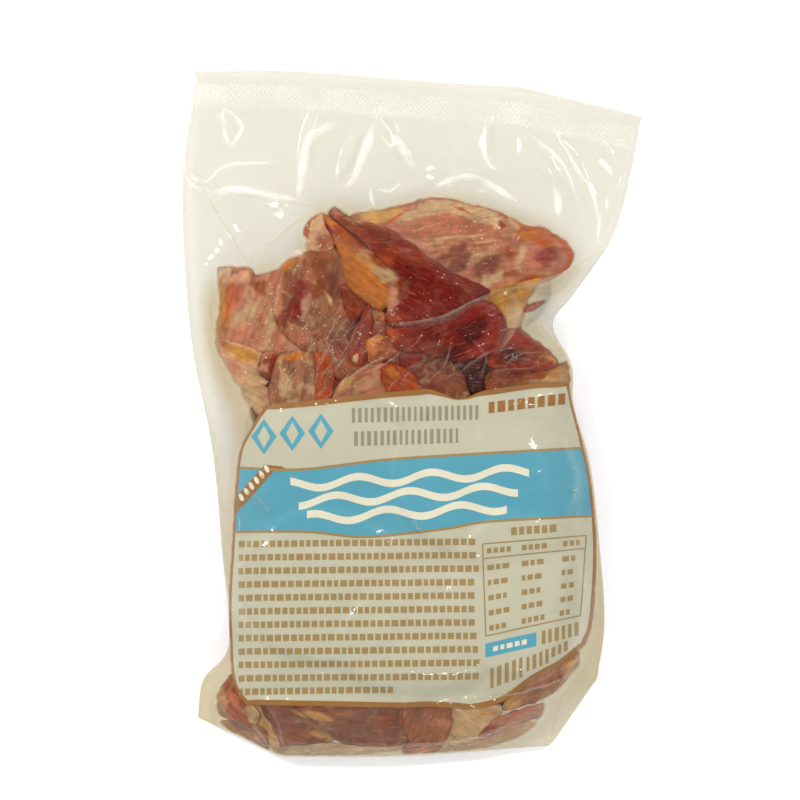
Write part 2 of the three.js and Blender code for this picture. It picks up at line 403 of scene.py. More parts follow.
FRONT_OFFCUTS = [
    slab("slab-upper-left", -30, -18, 60, 50, 8, MAUVE, marble=0.3),
    slab("slab-upper-right", 26, -24, 66, 56, -12, RED, streak=0.3),
    slab("slab-lower-left", -32, -62, 62, 54, -8, ROSE, marble=0.35),
    slab("slab-middle", 4, -80, 60, 42, 12, RED, marble=0.3),
    slab("slab-lower-right", 38, -66, 48, 58, 6, MAUVE, streak=0.3),
    dict(name="streaky-slice", thick=4.5, turn=8, lean=ROSE, streak=0.3, rims=[
        (30, 158, 0.6, RIND), (-38, 28, 1.6, RIND),
    ], outline=[
        (-22, 71.5), (-10.5, 73.5), (-1.5, 75.5), (3.5, 77), (7.5, 77.6), (13.5, 77), (21.5, 75), (29, 73),
        (36, 70), (40.5, 67.5), (46.5, 67), (51.5, 64.5), (55.5, 61.5), (58, 57.5), (56.5, 53), (53, 50.5),
        (48.5, 48), (38, 46.5), (32, 44), (24.5, 41), (11, 44), (-2, 52), (-13, 60), (-20, 67),
    ], patches=[
        (-11, 71.2, 9, 3.0, 12, STRAW), (1, 71.2, 8, 3, 16, CREAM), (8.5, 74.6, 8, 3.2, 8, CREAM),
        (19, 73.8, 9, 2.8, -10, CREAM), (26.5, 71, 8, 3.2, -22, CREAM), (-6, 70.5, 5, 0.6, 35, RIND),
        (18, 73.6, 4.5, 0.5, -24, RIND), (10, 69.2, 13, 2.2, 3, ROSE), (25, 66.5, 9, 2.0, -8, ROSE),
        (37, 68.6, 3, 1.5, -30, CREAM), (16, 63.8, 15, 0.55, 4, FAT), (20, 61.4, 14, 0.5, 8, FAT),
        (3, 66.8, 6, 0.5, 14, PINK), (3.5, 60.8, 7, 1.3, -14, PINK), (9, 62.4, 6, 0.5, 16, FAT),
        (14.4, 57.6, 10, 2.3, 25, BROWN), (20, 55.6, 6, 0.7, 27, FAT), (28.3, 59.6, 3.4, 1.5, 40, PINK),
        (15.6, 53.6, 8, 2.6, 30, MAUVE), (26.6, 53, 6.4, 3.2, 32, MAUVE), (29, 48.8, 5.6, 1.9, 28, FAT),
        (32.8, 67.8, 2.6, 1.5, -50, RED), (34.3, 58, 3.4, 2.6, 10, CLAY), (35, 65.8, 3.4, 2, 0, PINK),
        (38.8, 56.5, 5.8, 1.5, 76, FAT), (41.3, 64.5, 4.8, 2.8, -5, AMBER), (47.6, 56.8, 5, 4.6, 0, RED),
        (46.4, 62.4, 4, 1.7, -14, RIND), (35.5, 50.4, 4, 1.5, 10, CLAY), (42, 48.2, 5, 2, 12, ORANGE),
        (38.5, 46, 7.7, 1.5, 8, YELLOW),
    ]),
    dict(name="dark-wedge", thick=5, turn=-12, lean=RUST, marble=0.1, outline=[
        (-30, 72.5), (-26, 74.6), (-23.5, 72.2), (-20.8, 69.6), (-14, 68.2), (-6.5, 66), (-3.5, 62.5),
        (-7.5, 59.5), (-16, 59.5), (-22, 64.5), (-27, 68),
    ], patches=[
        (-26.4, 73, 3.4, 2.2, -40, CORAL), (-21.2, 70.2, 3.4, 1.6, -36, SAND),
        (-12, 64.6, 6.5, 2.4, -15, SMOKE),
    ]),
    dict(name="fat-edge", thick=2.5, turn=25, lean=YELLOW, marble=0.2, outline=[
        (25, 43.5), (35, 45.5), (40.5, 47.5), (46, 49), (43.5, 44), (40.5, 40), (39.5, 34.5), (37, 29.5),
        (31, 29), (25, 38.5),
    ], patches=[
        (36.5, 34, 6, 3.4, 75, FAT),
    ]),
    dict(name="marbled-slice", thick=4.5, turn=70, lean=ROSE, marble=0.5, rims=[
        (150, 250, 1.6, YELLOW),
    ], outline=[
        (-70, 51.5), (-67.5, 52.5), (-59, 52.5), (-56, 50), (-50.5, 51), (-46.5, 53.5), (-42, 55.5),
        (-38.5, 52.5), (-35.5, 45.5), (-37.5, 36), (-38.5, 27.5), (-42, 20.5), (-55, 21), (-64.5, 22.5),
        (-69, 26.5), (-70.5, 30), (-69, 39), (-69.5, 45.5),
    ], patches=[
        (-63, 48.6, 5.6, 2.6, 12, BLUSH), (-67.4, 51.4, 3.4, 1.6, 20, CREAM),
        (-55.5, 46.5, 3.6, 4.6, 0, CLAY), (-65.2, 42.2, 6, 3.1, 76, RIND),
        (-67.2, 34.6, 4.2, 1.9, 80, AMBER), (-60.2, 36.2, 7.8, 2.5, 42, FAT),
        (-50.6, 33.2, 8.2, 2.2, 76, FAT), (-55.4, 33.5, 5, 2.2, 70, ROSE), (-61, 28, 6, 3.2, -12, ROSE),
        (-59.4, 31.8, 4.4, 2.2, 20, PINK), (-54, 39, 3.4, 2.6, 40, PINK), (-53.2, 23.6, 2.8, 1.4, 20, FAT),
        (-48, 47, 4, 2.2, 40, CORAL), (-53.6, 49.6, 3.6, 1.5, 20, PINK), (-43, 26.5, 3.9, 3.9, 0, PINK),
    ]),
    dict(name="mottled-slice", thick=3.5, turn=72, lean=TAUPE, marble=0.4, rims=[
        (104, 142, 1.1, AMBER), (142, 200, 2.6, PINK),
    ], outline=[
        (-46.5, 53.5), (-44.5, 55.5), (-40.5, 57), (-35.5, 59.5), (-29.5, 60), (-25.5, 56.5), (-23.5, 49.5),
        (-22, 43.5), (-20.5, 38), (-22, 31.5), (-26, 26.5), (-29.5, 22.5), (-37.5, 22), (-43, 25.5),
        (-47, 30), (-50, 36), (-49.5, 43), (-48, 48.5),
    ], patches=[
        (-42, 41.5, 10.5, 2.9, 63, RED), (-41.4, 37.5, 3.6, 1.6, 66, CRIMSON),
        (-38.6, 38.6, 5.4, 1.4, 72, PINK), (-43.8, 54, 3.4, 1.6, 20, AMBER),
        (-44.4, 24.6, 4, 2.2, 0, TAUPE), (-32.5, 55.5, 6.5, 4.0, -10, CLAY), (-37, 50, 3.6, 2.4, 50, ROSE),
        (-27.5, 52, 3, 3.4, 0, GREY), (-31, 36.5, 5.6, 4.0, 80, GREY), (-34, 45, 4, 1.8, 60, CLAY),
        (-24.8, 47.5, 2.4, 3.4, 80, ROSE), (-26, 37, 3, 2.4, 0, ROSE), (-26, 30, 4.8, 4.2, 0, GREY),
        (-28.5, 45.5, 5.8, 2.5, 80, MAUVE), (-41, 28.2, 4.0, 2.9, 0, ROSE),
        (-33.5, 30.5, 3.4, 0.9, 30, FAT), (-30, 41, 2.4, 0.7, 110, FAT),
    ]),
    dict(name="pink-tip", thick=4, turn=78, lean=BLUSH, marble=0.3, rims=[
        (95, 200, 0.8, RIND),
    ], outline=[
        (-39, 65.5), (-37.5, 69), (-33.5, 72), (-31, 71), (-28.5, 68), (-28.5, 63), (-29.5, 59.5),
        (-34.5, 58.5), (-38, 60.5), (-37.5, 63),
    ], patches=[
        (-38, 66, 3.5, 0.8, 70, ORANGE), (-31.6, 62.4, 4.6, 3, 30, CLAY), (-35, 67.4, 3, 1.7, 60, CREAM),
    ]),
    dict(name="brown-flap", thick=4, turn=-38, lean=RUST, marble=0.1, outline=[
        (-26, 46), (-22, 46), (-16, 41), (-11.5, 37.5), (-12.5, 33.5), (-17, 36), (-21, 33.5), (-23.5, 36),
        (-25, 41),
    ], patches=[
        (-22, 43, 2.9, 1.5, -40, RUST),
    ]),
    dict(name="yellow-slice", thick=4, turn=-28, lean=BLUSH, marble=0.35, outline=[
        (-70.5, 27), (-66.5, 26), (-60.5, 24.5), (-55, 22), (-51.5, 17.5), (-51.5, 12.5), (-55, 8.5),
        (-59.5, 8), (-63.5, 12), (-67, 17.5), (-69.5, 22),
    ], patches=[
        (-62, 22.4, 8.9, 2.8, -18, YELLOW), (-67, 25, 3.5, 1.4, -10, AMBER), (-57, 13, 3.3, 4.2, 60, FAT),
        (-64, 15.5, 4.2, 3.3, -60, PINK),
    ]),
    dict(name="left-fat", thick=3, turn=-30, lean=FAT, marble=0.3, outline=[
        (-61.5, 10), (-57.5, 9.5), (-54, 10), (-49, 7), (-47, 2.5), (-54, -0.5), (-58.6, 4),
    ], patches=[
        (-52, 7, 2.9, 1.9, 0, PINK),
    ]),
    dict(name="red-knob", thick=4.5, turn=70, lean=BROWN, marble=0.2, outline=[
        (-55, 20), (-51.5, 22.5), (-48, 21), (-48, 15), (-51.5, 12), (-55, 14.5),
    ], patches=[
        (-53.5, 16.5, 1.5, 2.9, 80, PINK), (-52, 21.2, 3, 1.6, 0, ROSE), (-50, 17.8, 3.4, 2, 80, RED),
    ]),
    dict(name="beige-slice", thick=4, turn=80, lean=GREY, marble=0.75, outline=[
        (-48, 20.5), (-43, 22.5), (-37.5, 22), (-33.5, 18.5), (-33.5, 11), (-35, 3.5), (-43, 1), (-50.5, 3),
        (-51.5, 10), (-49.5, 16.5),
    ], patches=[
        (-43, 21, 5.8, 1.4, 8, AMBER), (-46, 11, 4.8, 2.3, 80, FAT), (-39.5, 7, 3.9, 1.9, 60, TAUPE),
    ]),
    dict(name="grey-lump", thick=4, turn=-50, lean=TAUPE, marble=0.3, outline=[
        (-34, 30), (-26, 30), (-21.5, 25), (-16, 19), (-20.5, 14.5), (-26, 12.5), (-29.5, 16.5),
        (-33.5, 22),
    ], patches=[
        (-28, 26.4, 5, 3.4, -40, MAUVE), (-22, 18.5, 3.9, 1.4, -45, ORANGE),
    ]),
    dict(name="rind-strip", thick=3.5, turn=88, lean=ORANGE, marble=0.05, outline=[
        (-35.5, 21), (-32.5, 22), (-29.5, 20), (-28.5, 15), (-29, 8), (-31, 3.5), (-34.5, 3.5), (-35, 13),
    ], patches=[
        (-31, 13, 5.8, 1.0, 88, CLAY),
    ]),
    dict(name="dark-behind", thick=4, turn=20, lean=TAUPE, marble=0.3, outline=[
        (-16, 36.5), (-11, 37), (-8.5, 34), (-8.5, 28.5), (-14.5, 27), (-16.5, 30),
    ], patches=[
        (-12.5, 29.6, 4, 1.8, 0, RUST), (-9.6, 37, 3.4, 2.6, 0, AMBER),
    ]),
    dict(name="pink-front", thick=4, turn=28, lean=ROSE, streak=0.35, outline=[
        (-26, 11), (-22, 14), (-16, 17.5), (-10, 18), (-7, 13), (-6, 6), (-14.5, 2.5), (-24, 2.5),
        (-28.5, 6),
    ], patches=[
        (-21, 9, 4.8, 1.0, 30, PINK), (-23.6, 7.6, 4, 2.4, 30, GREY), (-24, 11, 3.9, 1.2, 35, STRAW),
    ]),
    dict(name="mauve-front", thick=4, turn=-20, lean=MAUVE, marble=0.3, outline=[
        (-4.5, 22.5), (3, 22.5), (12, 20.5), (17.5, 17), (20.5, 11.5), (19, 5), (8, 3), (0, 8), (-3.5, 16),
    ], patches=[
        (13, 11, 6, 4, -20, TAUPE), (-1, 18.8, 4, 2.6, 0, CRIMSON),
    ]),
    dict(name="purple-front", thick=4, turn=-8, lean=PURPLE, marble=0.08, outline=[
        (14, 20.5), (20, 20.8), (28.5, 22), (33.5, 18.5), (37, 14.5), (32.5, 8), (26, 5), (21.5, 8),
        (18.5, 14.5),
    ], patches=[
        (22, 17.5, 4.8, 2.5, 10, PLUM),
    ]),
    dict(name="tan-edge", thick=3, turn=6, lean=CLAY, marble=0.15, outline=[
        (30, 16.5), (38, 16.5), (45.5, 16), (52, 18), (56.5, 18.5), (57.5, 14), (56, 7), (41.5, 4), (30, 4),
        (26.5, 10),
    ], patches=[
        (52, 14, 4.2, 2.2, 20, SAND), (47, 10.4, 9, 2.2, 10, FAT), (37.5, 15.6, 5.4, 2.2, 5, CRIMSON),
    ]),
    dict(name="orange-end", thick=4, turn=-40, lean=ORANGE, marble=0.1, outline=[
        (-11.5, 16.5), (-7.5, 18), (-2.5, 16), (1.5, 12), (3, 8), (-2, 5.5), (-7.5, 7), (-10.5, 11.5),
    ], patches=[
        (-7.5, 15, 2.9, 1.5, -30, AMBER), (-1.5, 10, 2.9, 1.2, -40, RUST),
    ]),
    dict(name="red-sliver", thick=4.5, turn=75, lean=RED, streak=0.12, outline=[
        (-16, 40), (-14, 34), (-15.5, 26.5), (-16.5, 19.5), (-20.5, 18), (-23, 22), (-21.5, 28.5),
        (-18.5, 35),
    ], patches=[
        (-20.6, 20, 1.8, 0.8, 70, FAT), (-16, 30, 4.8, 0.8, 80, RUST),
    ]),
    dict(name="curled-end", thick=5, turn=5, lean=CLAY, marble=0.15, rims=[
        (60, 260, 0.9, AMBER),
    ], outline=[
        (-16.3, 26), (-13, 28), (-7.5, 28.2), (-5, 26.8), (-3, 24), (-5.5, 21), (-10, 20), (-13.5, 18.5),
        (-15, 18), (-16.3, 22.5),
    ], patches=[
        (-15, 24.5, 2.5, 3.5, 0, AMBER), (-7.5, 26.5, 2.9, 1.9, 0, CLAY), (-13.5, 27.5, 2.9, 1.4, 10, SAND),
    ]),
    dict(name="brown-end", thick=5, turn=-14, lean=RED, marble=0.12, rims=[
        (-40, 50, 1.0, CLAY),
    ], outline=[
        (28, 22), (33, 29.5), (38, 30.6), (42.4, 27.6), (46.6, 24.8), (50, 22), (52, 17.5), (45.5, 15.5),
        (38, 16), (31, 16.5), (27, 18.5),
    ], patches=[
        (46.5, 20.4, 4, 2.2, -10, CLAY), (35.5, 20.8, 5, 4.4, -20, PLUM), (50, 19.5, 1.7, 2.3, 60, SAND),
    ]),
    dict(name="dark-chunk", thick=6, turn=22, lean=CRIMSON, marble=0.08, outline=[
        (-9.5, 32), (2, 35), (12.5, 38.5), (20.5, 41), (26.5, 40.6), (31, 37.6), (34, 32), (32, 26),
        (28.5, 21.5), (18.5, 19.5), (11, 19.5), (3, 22), (-3.5, 22), (-8, 26),
    ], patches=[
        (-2.5, 28, 5.8, 3.3, 0, RED), (9, 23.5, 7.7, 2.5, -10, MAUVE), (15, 22, 7, 2.6, 10, PLUM),
        (21.5, 29.5, 6.4, 4.4, 50, PLUM), (29, 27, 4, 5.4, 60, RED), (-7.2, 30, 3, 4.4, 0, ORANGE),
    ]),
    dict(name="red-splinter", thick=2.5, turn=25, lean=RUST, marble=0.1, outline=[
        (40.5, 38), (47.5, 41), (45.5, 38.9), (42.4, 37),
    ]),
    dict(name="smoked-chunk", thick=6, turn=-32, lean=DARK, marble=0.06, rims=[
        (150, 232, 2.2, AMBER), (20, 80, 0.5, CLAY),
    ], outline=[
        (-32, 72), (-26, 68.5), (-21, 64.5), (-17, 61), (-10.5, 61.5), (-3.5, 62.5), (0, 61), (7, 55.5),
        (13.5, 51.5), (20.5, 48.4), (25, 46.2), (27.6, 44.6), (26.8, 42.2), (23.5, 40.4), (18.5, 38),
        (12.5, 35.5), (3, 32.5), (-7.5, 31), (-10, 34), (-9, 39), (-11.5, 37.5), (-16, 40.5), (-22, 45),
        (-24.5, 51.5), (-26, 58), (-29.5, 64.5),
    ], patches=[
        (-25, 64, 9.2, 4.4, -48, RUST), (-26.5, 66, 5.4, 2.4, -48, ORANGE), (-30, 70, 3.4, 1.6, -54, AMBER),
        (-20, 53, 12.5, 6.4, -58, AMBER), (-12.5, 43.5, 7.2, 5.4, -40, AMBER),
        (-16, 55.8, 5.6, 2.4, -55, SAND), (-9.8, 50.8, 5.4, 3.2, -24, FAT),
        (-7.2, 42.4, 6.4, 2.6, 86, PINK), (-3.4, 43.5, 5.4, 1.9, 80, BROWN),
        (-10.6, 55.4, 4.4, 2.4, -30, ORANGE), (-3, 57.5, 9, 3.0, -16, RUST), (-6, 35, 3.7, 2.1, 0, ORANGE),
        (1, 38, 8.7, 3.5, 12, CRIMSON), (1, 43, 5, 3.4, 60, CRIMSON),
    ]),
    dict(name="foot-left-fat", thick=2.5, turn=-50, lean=SAND, marble=0.4, outline=[
        (-58, -102), (-49, -102), (-46, -112), (-44.5, -120), (-50, -120.5), (-56, -115), (-60, -109),
    ]),
    dict(name="corner-slice", thick=3, turn=-60, lean=CLAY, marble=0.15, outline=[
        (-64, -93.5), (-68.5, -98), (-70, -103), (-69, -107.5), (-65.5, -110.5), (-61, -113.5),
        (-57, -112.5), (-55, -108.5), (-58, -104), (-61.5, -97),
    ], patches=[
        (-56.6, -108.4, 2.6, 5, -10, FAT), (-68, -102, 4.8, 1.4, -80, SAND),
        (-63, -109.5, 4.8, 2.5, -40, ORANGE), (-64.5, -103, 3.9, 2.5, -60, CORAL),
    ]),
    dict(name="corner-scrap", thick=2.5, turn=-20, lean=CLAY, marble=0.15, outline=[
        (-69, -110.5), (-62, -110.5), (-56, -112), (-52.5, -115), (-52.5, -121.8), (-58.5, -120.4),
        (-66, -116),
    ], patches=[
        (-55.5, -116.5, 2.9, 1.4, 0, CORAL),
    ]),
    dict(name="foot-slice-left", thick=4, turn=-16, lean=MAUVE, marble=0.2, outline=[
        (-54.5, -103), (-45, -103), (-33.5, -109.5), (-26, -115), (-29.5, -118), (-37.5, -119.5),
        (-46, -121), (-48.5, -116.5), (-51, -111),
    ], patches=[
        (-43, -116.5, 6.8, 2.5, 8, CLAY), (-46, -112.5, 5.8, 2.3, -20, MAUVE),
        (-32, -116.4, 5, 2, -14, SAND),
    ]),
    dict(name="foot-fat-strip", thick=3, turn=3, lean=FAT, marble=0.4, outline=[
        (-48.5, -120), (-37.5, -119), (-29.5, -118.4), (-17, -119.2), (-5, -119.6), (-2, -120.6),
        (-16, -122), (-29.5, -122.6), (-43, -122.8),
    ], patches=[
        (-26, -120, 11.6, 0.8, 3, SAND),
    ]),
    dict(name="foot-slice-middle", thick=4.5, turn=-6, lean=MAUVE, marble=0.25, outline=[
        (-45, -103), (-29.5, -103), (-16, -103), (-3.5, -103), (0, -112.5), (0, -119.6), (-12, -119.4),
        (-25, -118), (-30, -115), (-35.5, -110.5),
    ], patches=[
        (-35.5, -108.5, 8.7, 1.7, -14, SAND), (-20, -112.5, 8.7, 2.5, 6, MAUVE),
        (-10.5, -110.5, 4.8, 2.9, 0, RUST), (-26, -108, 5.8, 1.5, 0, CLAY), (-8, -117.5, 6, 1.2, 0, BROWN),
    ]),
    dict(name="foot-scrap", thick=2.5, turn=14, lean=SAND, marble=0.35, outline=[
        (12, -118), (22, -117), (31, -114.5), (40, -110.5), (44, -111.5), (38, -116), (26, -119.5),
        (14, -121.5),
    ], patches=[
        (30, -116, 9, 1.2, 20, ROSE),
    ]),
    dict(name="foot-fat", thick=3.5, turn=-30, lean=FAT, marble=0.2, outline=[
        (12, -103), (20.5, -103), (30, -104.5), (32, -107), (27, -113), (22.5, -116.5), (18.5, -119.5),
        (8.5, -122), (11.5, -117.5),
    ], patches=[
        (17.5, -113.5, 5.8, 2.9, 40, FAT), (25.5, -108, 3.9, 2.1, 0, SAND),
    ]),
    dict(name="foot-round", thick=4.5, turn=70, lean=CLAY, marble=0.15, outline=[
        (-4, -104), (3, -103), (11.5, -103.5), (14, -108.5), (13.5, -113), (11.5, -117.5), (8, -121.5),
        (1, -122.5), (-4, -121), (-1, -117.5), (-3, -112.5),
    ], patches=[
        (3, -120.5, 4.8, 1.4, 5, CORAL), (11, -111.5, 1.5, 4.8, 90, ROSE), (3, -110, 5.8, 2.9, 0, TAUPE),
    ]),
    dict(name="foot-strip", thick=3, turn=24, lean=ROSE, streak=0.2, outline=[
        (23.5, -116), (30, -109.5), (37, -107), (46.5, -104), (45.5, -109), (37, -111.5), (30, -114.5),
    ], patches=[
        (40, -107.5, 6, 1.8, 22, CORAL), (27, -113.5, 4.4, 1.8, 34, RED),
    ]),
    dict(name="label-side-slice", thick=3, turn=35, lean=GREY, marble=0.3, outline=[
        (33.5, -103), (41.5, -94.5), (51.5, -90.5), (59, -85.5), (59, -91), (53.4, -97), (48, -101.6),
        (41, -104.6), (33, -106.6),
    ], patches=[
        (48, -95.5, 4.8, 2.5, 40, ROSE), (57, -91, 4, 2.6, 60, SAND), (36, -103.6, 4.2, 2.8, 30, SAND),
    ]),
]

BACK_OFFCUTS = [
    slab("under-top-left", -42, 32, 46, 38, -30, ROSE, marble=0.5),
    slab("under-top-middle", -2, 44, 56, 40, -20, RED, streak=0.5),
    slab("under-top-right", 30, 42, 42, 30, 24, MAUVE, marble=0.4),
    slab("under-left", -38, -6, 46, 42, 12, BROWN, marble=0.5),
    slab("under-middle", 4, 6, 54, 40, -14, ROSE, streak=0.6),
    slab("under-right", 34, -14, 40, 46, 8, DARK, marble=0.2),
    slab("under-left-low", -36, -54, 48, 48, -16, RED, marble=0.35),
    slab("under-middle-low", 10, -44, 50, 50, 28, MAUVE, marble=0.6),
    slab("under-right-low", 38, -64, 38, 50, -6, ROSE, streak=0.5),
    slab("under-foot-left", -38, -94, 44, 32, 10, CLAY, marble=0.4),
    slab("under-foot-middle", 2, -96, 48, 34, -8, BROWN, streak=0.4),
    slab("under-foot-right", 32, -94, 34, 26, 30, RED, marble=0.3),
]

# The meat as a whole: the offcuts that show, the label's sides and the foot. The core is inside it.
MEAT_OUTLINE = [
    (-69, 44), (-66, 51), (-57, 50), (-45, 53), (-37, 60), (-37, 69), (-28, 74), (-16, 71), (2, 76),
    (14, 77), (30, 72), (46, 66), (57, 57), (54, 50), (45, 47), (36, 44), (32, 37), (32, 31), (38, 29),
    (46, 25), (51, 19), (56, 8), (59, -10), (62, -28), (63, -60), (62, -80), (54, -92), (40, -104),
    (20, -116), (0, -121), (-30, -119), (-50, -117), (-62, -112), (-69, -104), (-67, -96), (-62, -88),
    (-63, -60), (-61, -30), (-58, -8), (-62, 6), (-68, 20), (-70, 32),
]

GRID_STEP = 0.5  # distance between an offcut's points
EDGE_ROUND = 1.3  # how far in an offcut's edge is rounded, in its own thicknesses
THINNED = 0.5  # an offcut's thickness once it is pressed
GROW = 0.4  # how far an offcut reaches past the part of it that shows
OVER = 0.7  # how far a lump may stand over its target
LAYER_STEP = 0.04  # what keeps flattened lumps of different offcuts apart
LIFT_REACH = 7  # over how far a stack is evened out to its target
NOTHING = -1e3  # the height of a layer where it has nothing
PLAIN = {"marble": 0.1, "streak": 0, "patches": [], "rims": [], "step": GRID_STEP}


def under_eye(points):
    """Moves places seen by the camera to where they are in the bag: what is high looks larger."""
    points = np.array(points, float)
    rise = sample(cad_front, points[:, 0], points[:, 1]) - SEAM_LEVEL
    return EYE_PLACE + (points - EYE_PLACE) * (1 - rise / EYE_LEVEL)[:, None]


def closed_line(points, count):
    """A smooth closed line through the points."""
    line = smooth_line(points[-2:] + points + points[:2], 8 * count)
    ends = [np.hypot(*(line - points[k]).T) for k in (0, -1)]
    first = int(np.argmin(ends[0][: 4 * count]))
    last = int(np.argmin(ends[1][4 * count:])) + 4 * count
    return spaced(line[first:last + 1], count)


def keep_inside(outline, middle):
    """Draws an outline in towards its middle where it would cross the bag's seams."""
    share = np.ones(len(outline))
    for _ in range(40):
        places = middle + (outline - middle) * share[:, None]
        share = np.where(sample(room, *places.T) < 0.99, share - 0.02, share)
    return middle + (outline - middle) * share[:, None]


def reach_along(outline, directions):
    """How far an outline reaches from its middle. Where it turns back on itself, the first
    stretch counts."""
    angles = np.unwrap(np.arctan2(outline[:, 1], outline[:, 0]))
    if angles[-1] < angles[0]:
        outline, angles = outline[::-1], angles[::-1]
    onward = angles >= np.maximum.accumulate(angles)
    radii = np.hypot(*outline[onward].T)
    return np.interp(directions, angles[onward], radii, period=2 * math.pi)


class Offcut:
    """One piece of meat: its plan, its colours and, once it is draped, its heights."""

    def __init__(self, spec, seed):
        self.spec = {**PLAIN, **spec}
        self.seed = seed
        turn = math.radians(self.spec["turn"])
        outline = under_eye(closed_line(self.spec["outline"], 150))
        middle = outline.mean(axis=0)
        outline += GROW * (outline - middle) / np.hypot(*(outline - middle).T)[:, None]
        outline = keep_inside(outline, middle)
        axes = np.array([[math.cos(turn), math.sin(turn)], [-math.sin(turn), math.cos(turn)]])
        local = (outline - middle) @ axes.T
        half = np.abs(local).max(axis=0)
        a, b = self.disc(half)
        share = np.hypot(a, b)
        reach = reach_along(local / half, np.arctan2(b, a))
        self.along, self.across = a * reach * half[0], b * reach * half[1]
        place = np.stack([self.along, self.across], -1) @ axes + middle
        self.to_edge = distance_to(place[..., 0], place[..., 1], outline) * (share < 0.9999)
        self.bearing = np.degrees(np.arctan2(*np.moveaxis(place - middle, 2, 0)[::-1]))
        ragged = 0.35 * ease(share, 0.3, 1)
        self.x = place[..., 0] + ragged * noise(place[..., 0], place[..., 1], 2.4, seed)
        self.y = place[..., 1] + ragged * noise(place[..., 0], place[..., 1], 2.4, seed + 1)

    def disc(self, half):
        """A grid of places over a disc of radius 1, closer together at its edge."""
        columns, rows = (max(10, int(2 * side / self.spec["step"])) for side in half)
        u, v = np.meshgrid(np.linspace(-1, 1, columns), np.linspace(-1, 1, rows))
        return rounded(*((side + np.sin(side * math.pi / 2)) / 2 for side in (u, v)))

    def drape(self, stack):
        """Lays the offcut on the stack, which then holds its top as well."""
        thick = self.spec["thick"] * THINNED
        swell = np.clip(self.to_edge / (EDGE_ROUND * thick), 0, 1)
        swell = np.sqrt(1 - (1 - swell) ** 2)
        evened, below = (sample(field, self.x, self.y) for field in (blur(stack, 2.5), stack))
        ground = np.maximum(evened, below - 0.3 * thick)
        lumps = 1 + 0.15 * rough_noise(self.x, self.y, 8, self.seed + 5)
        fibres = 0.16 * noise(self.along / 6, self.across, 1.5, self.seed + 6)
        self.top = ground + swell * (thick * lumps + fibres)
        self.foot = ground - swell * 0.25 * thick
        stamp(stack, self.x, self.y, self.top)

    def fit(self, lift, limit, layer):
        """Moves the draped offcut by the lift, and flattens what would stand over the limit."""
        rise, roof = sample(lift, self.x, self.y), sample(limit, self.x, self.y) + LAYER_STEP * layer
        over = np.maximum(self.top + rise - roof, 0)
        self.top = np.minimum(self.top + rise, roof) + OVER * np.tanh(over / OVER)
        self.foot = np.minimum(self.foot + rise, self.top - 0.01)

    def lean_and_fat(self, cloud, fibre):
        """The lean's colour, and the fat between its muscles and along its fibres."""
        spec, seed, x, y = self.spec, self.seed, self.x, self.y
        colour = spec["lean"] * (1 + 0.2 * cloud + 0.1 * fibre)[..., None]
        warp = 3 * noise(x, y, 9, seed + 12)
        veins = 1 - np.abs(rough_noise(x + warp, y - warp, 7, seed + 13, 3)) * 2.4
        fat = 0.9 * spec["marble"] * ease(veins, 0.75 - 0.8 * spec["marble"], 1.0)
        lines = noise(self.along / 14 + warp / 9, self.across + warp / 4, 1.7, seed + 14)
        fat = np.maximum(fat, spec["streak"] * ease(lines, 0.6 - 0.5 * spec["streak"], 0.7))
        return mixed(colour, FAT, fat), fat

    def wander(self, seed):
        """How far a patch's edge strays at each point."""
        return 1.5 * rough_noise(self.x, self.y, 5, seed) + 0.5 * noise(self.x, self.y, 1.3, seed + 1)

    def rim_share(self, start, end, width):
        """How much of a rim's colour shows at each point."""
        width = width * (1 + 0.4 * noise(self.x, self.y, 4, self.seed + 21))
        off = np.abs((self.bearing - (start + end) / 2 + 180) % 360 - 180) / ((end - start) / 2)
        return 0.85 * (1 - ease(self.to_edge, 0.4 * width, 1.7 * width)) * (1 - ease(off, 0.8, 1.15))

    def colours(self):
        """The colour of each point of the plan, and how fat it is."""
        seed, x, y = self.seed, self.x, self.y
        fibre = noise(self.along / 9, self.across, 1.3, seed + 10)
        cloud = rough_noise(x, y, 7, seed + 11)
        colour, fat = self.lean_and_fat(cloud, fibre)
        ragged = 0.15 * rough_noise(x, y, 3, seed + 16)
        stray_x, stray_y = self.wander(seed + 17), self.wander(seed + 19)
        for patch_x, patch_y, half_length, half_width, turn, tone in self.spec["patches"]:
            (patch_x, patch_y), = under_eye([(patch_x, patch_y)])
            calm = min(1, 0.2 + 0.35 * half_width)
            a, b = turned(x + calm * stray_x - patch_x, y + calm * stray_y - patch_y, turn)
            reach = np.hypot(a / half_length, b / half_width) + ragged
            share = 0.92 * (1 - ease(reach, 0.5, 1.25))
            colour = mixed(colour, tone * (1 + 0.12 * cloud + 0.08 * fibre)[..., None], share)
            fat = fat * (1 - share) + share * (tone is FAT or tone is CREAM)
        for start, end, width, tone in self.spec["rims"]:
            share = self.rim_share(start, end, width)
            colour = mixed(colour, tone * (1 + 0.12 * cloud)[..., None], share)
            fat = fat * (1 - share)
        return np.clip(colour, 0, 1), fat


def mixed(first, second, share):
    """Colours between two others, by a share at each point."""
    share = np.asarray(share)[..., None]
    return first * (1 - share) + second * share


def stamp(stack, x, y, z):
    """Raises the stack to a draped surface."""
    strides = [np.hypot(np.diff(x, axis=axis), np.diff(y, axis=axis)).max() for axis in (0, 1)]
    times = int(math.ceil(max(strides) / (0.7 * CELL)))
    x, y, z = (refine(grid, times) for grid in (x, y, z))
    column = np.clip(np.rint((x + HALF_WIDTH) / CELL).astype(int), 0, COLUMNS - 1)
    row = np.clip(np.rint((y + HALF_LENGTH) / CELL).astype(int), 0, ROWS - 1)
    np.maximum.at(stack, (row.ravel(), column.ravel()), z.ravel())


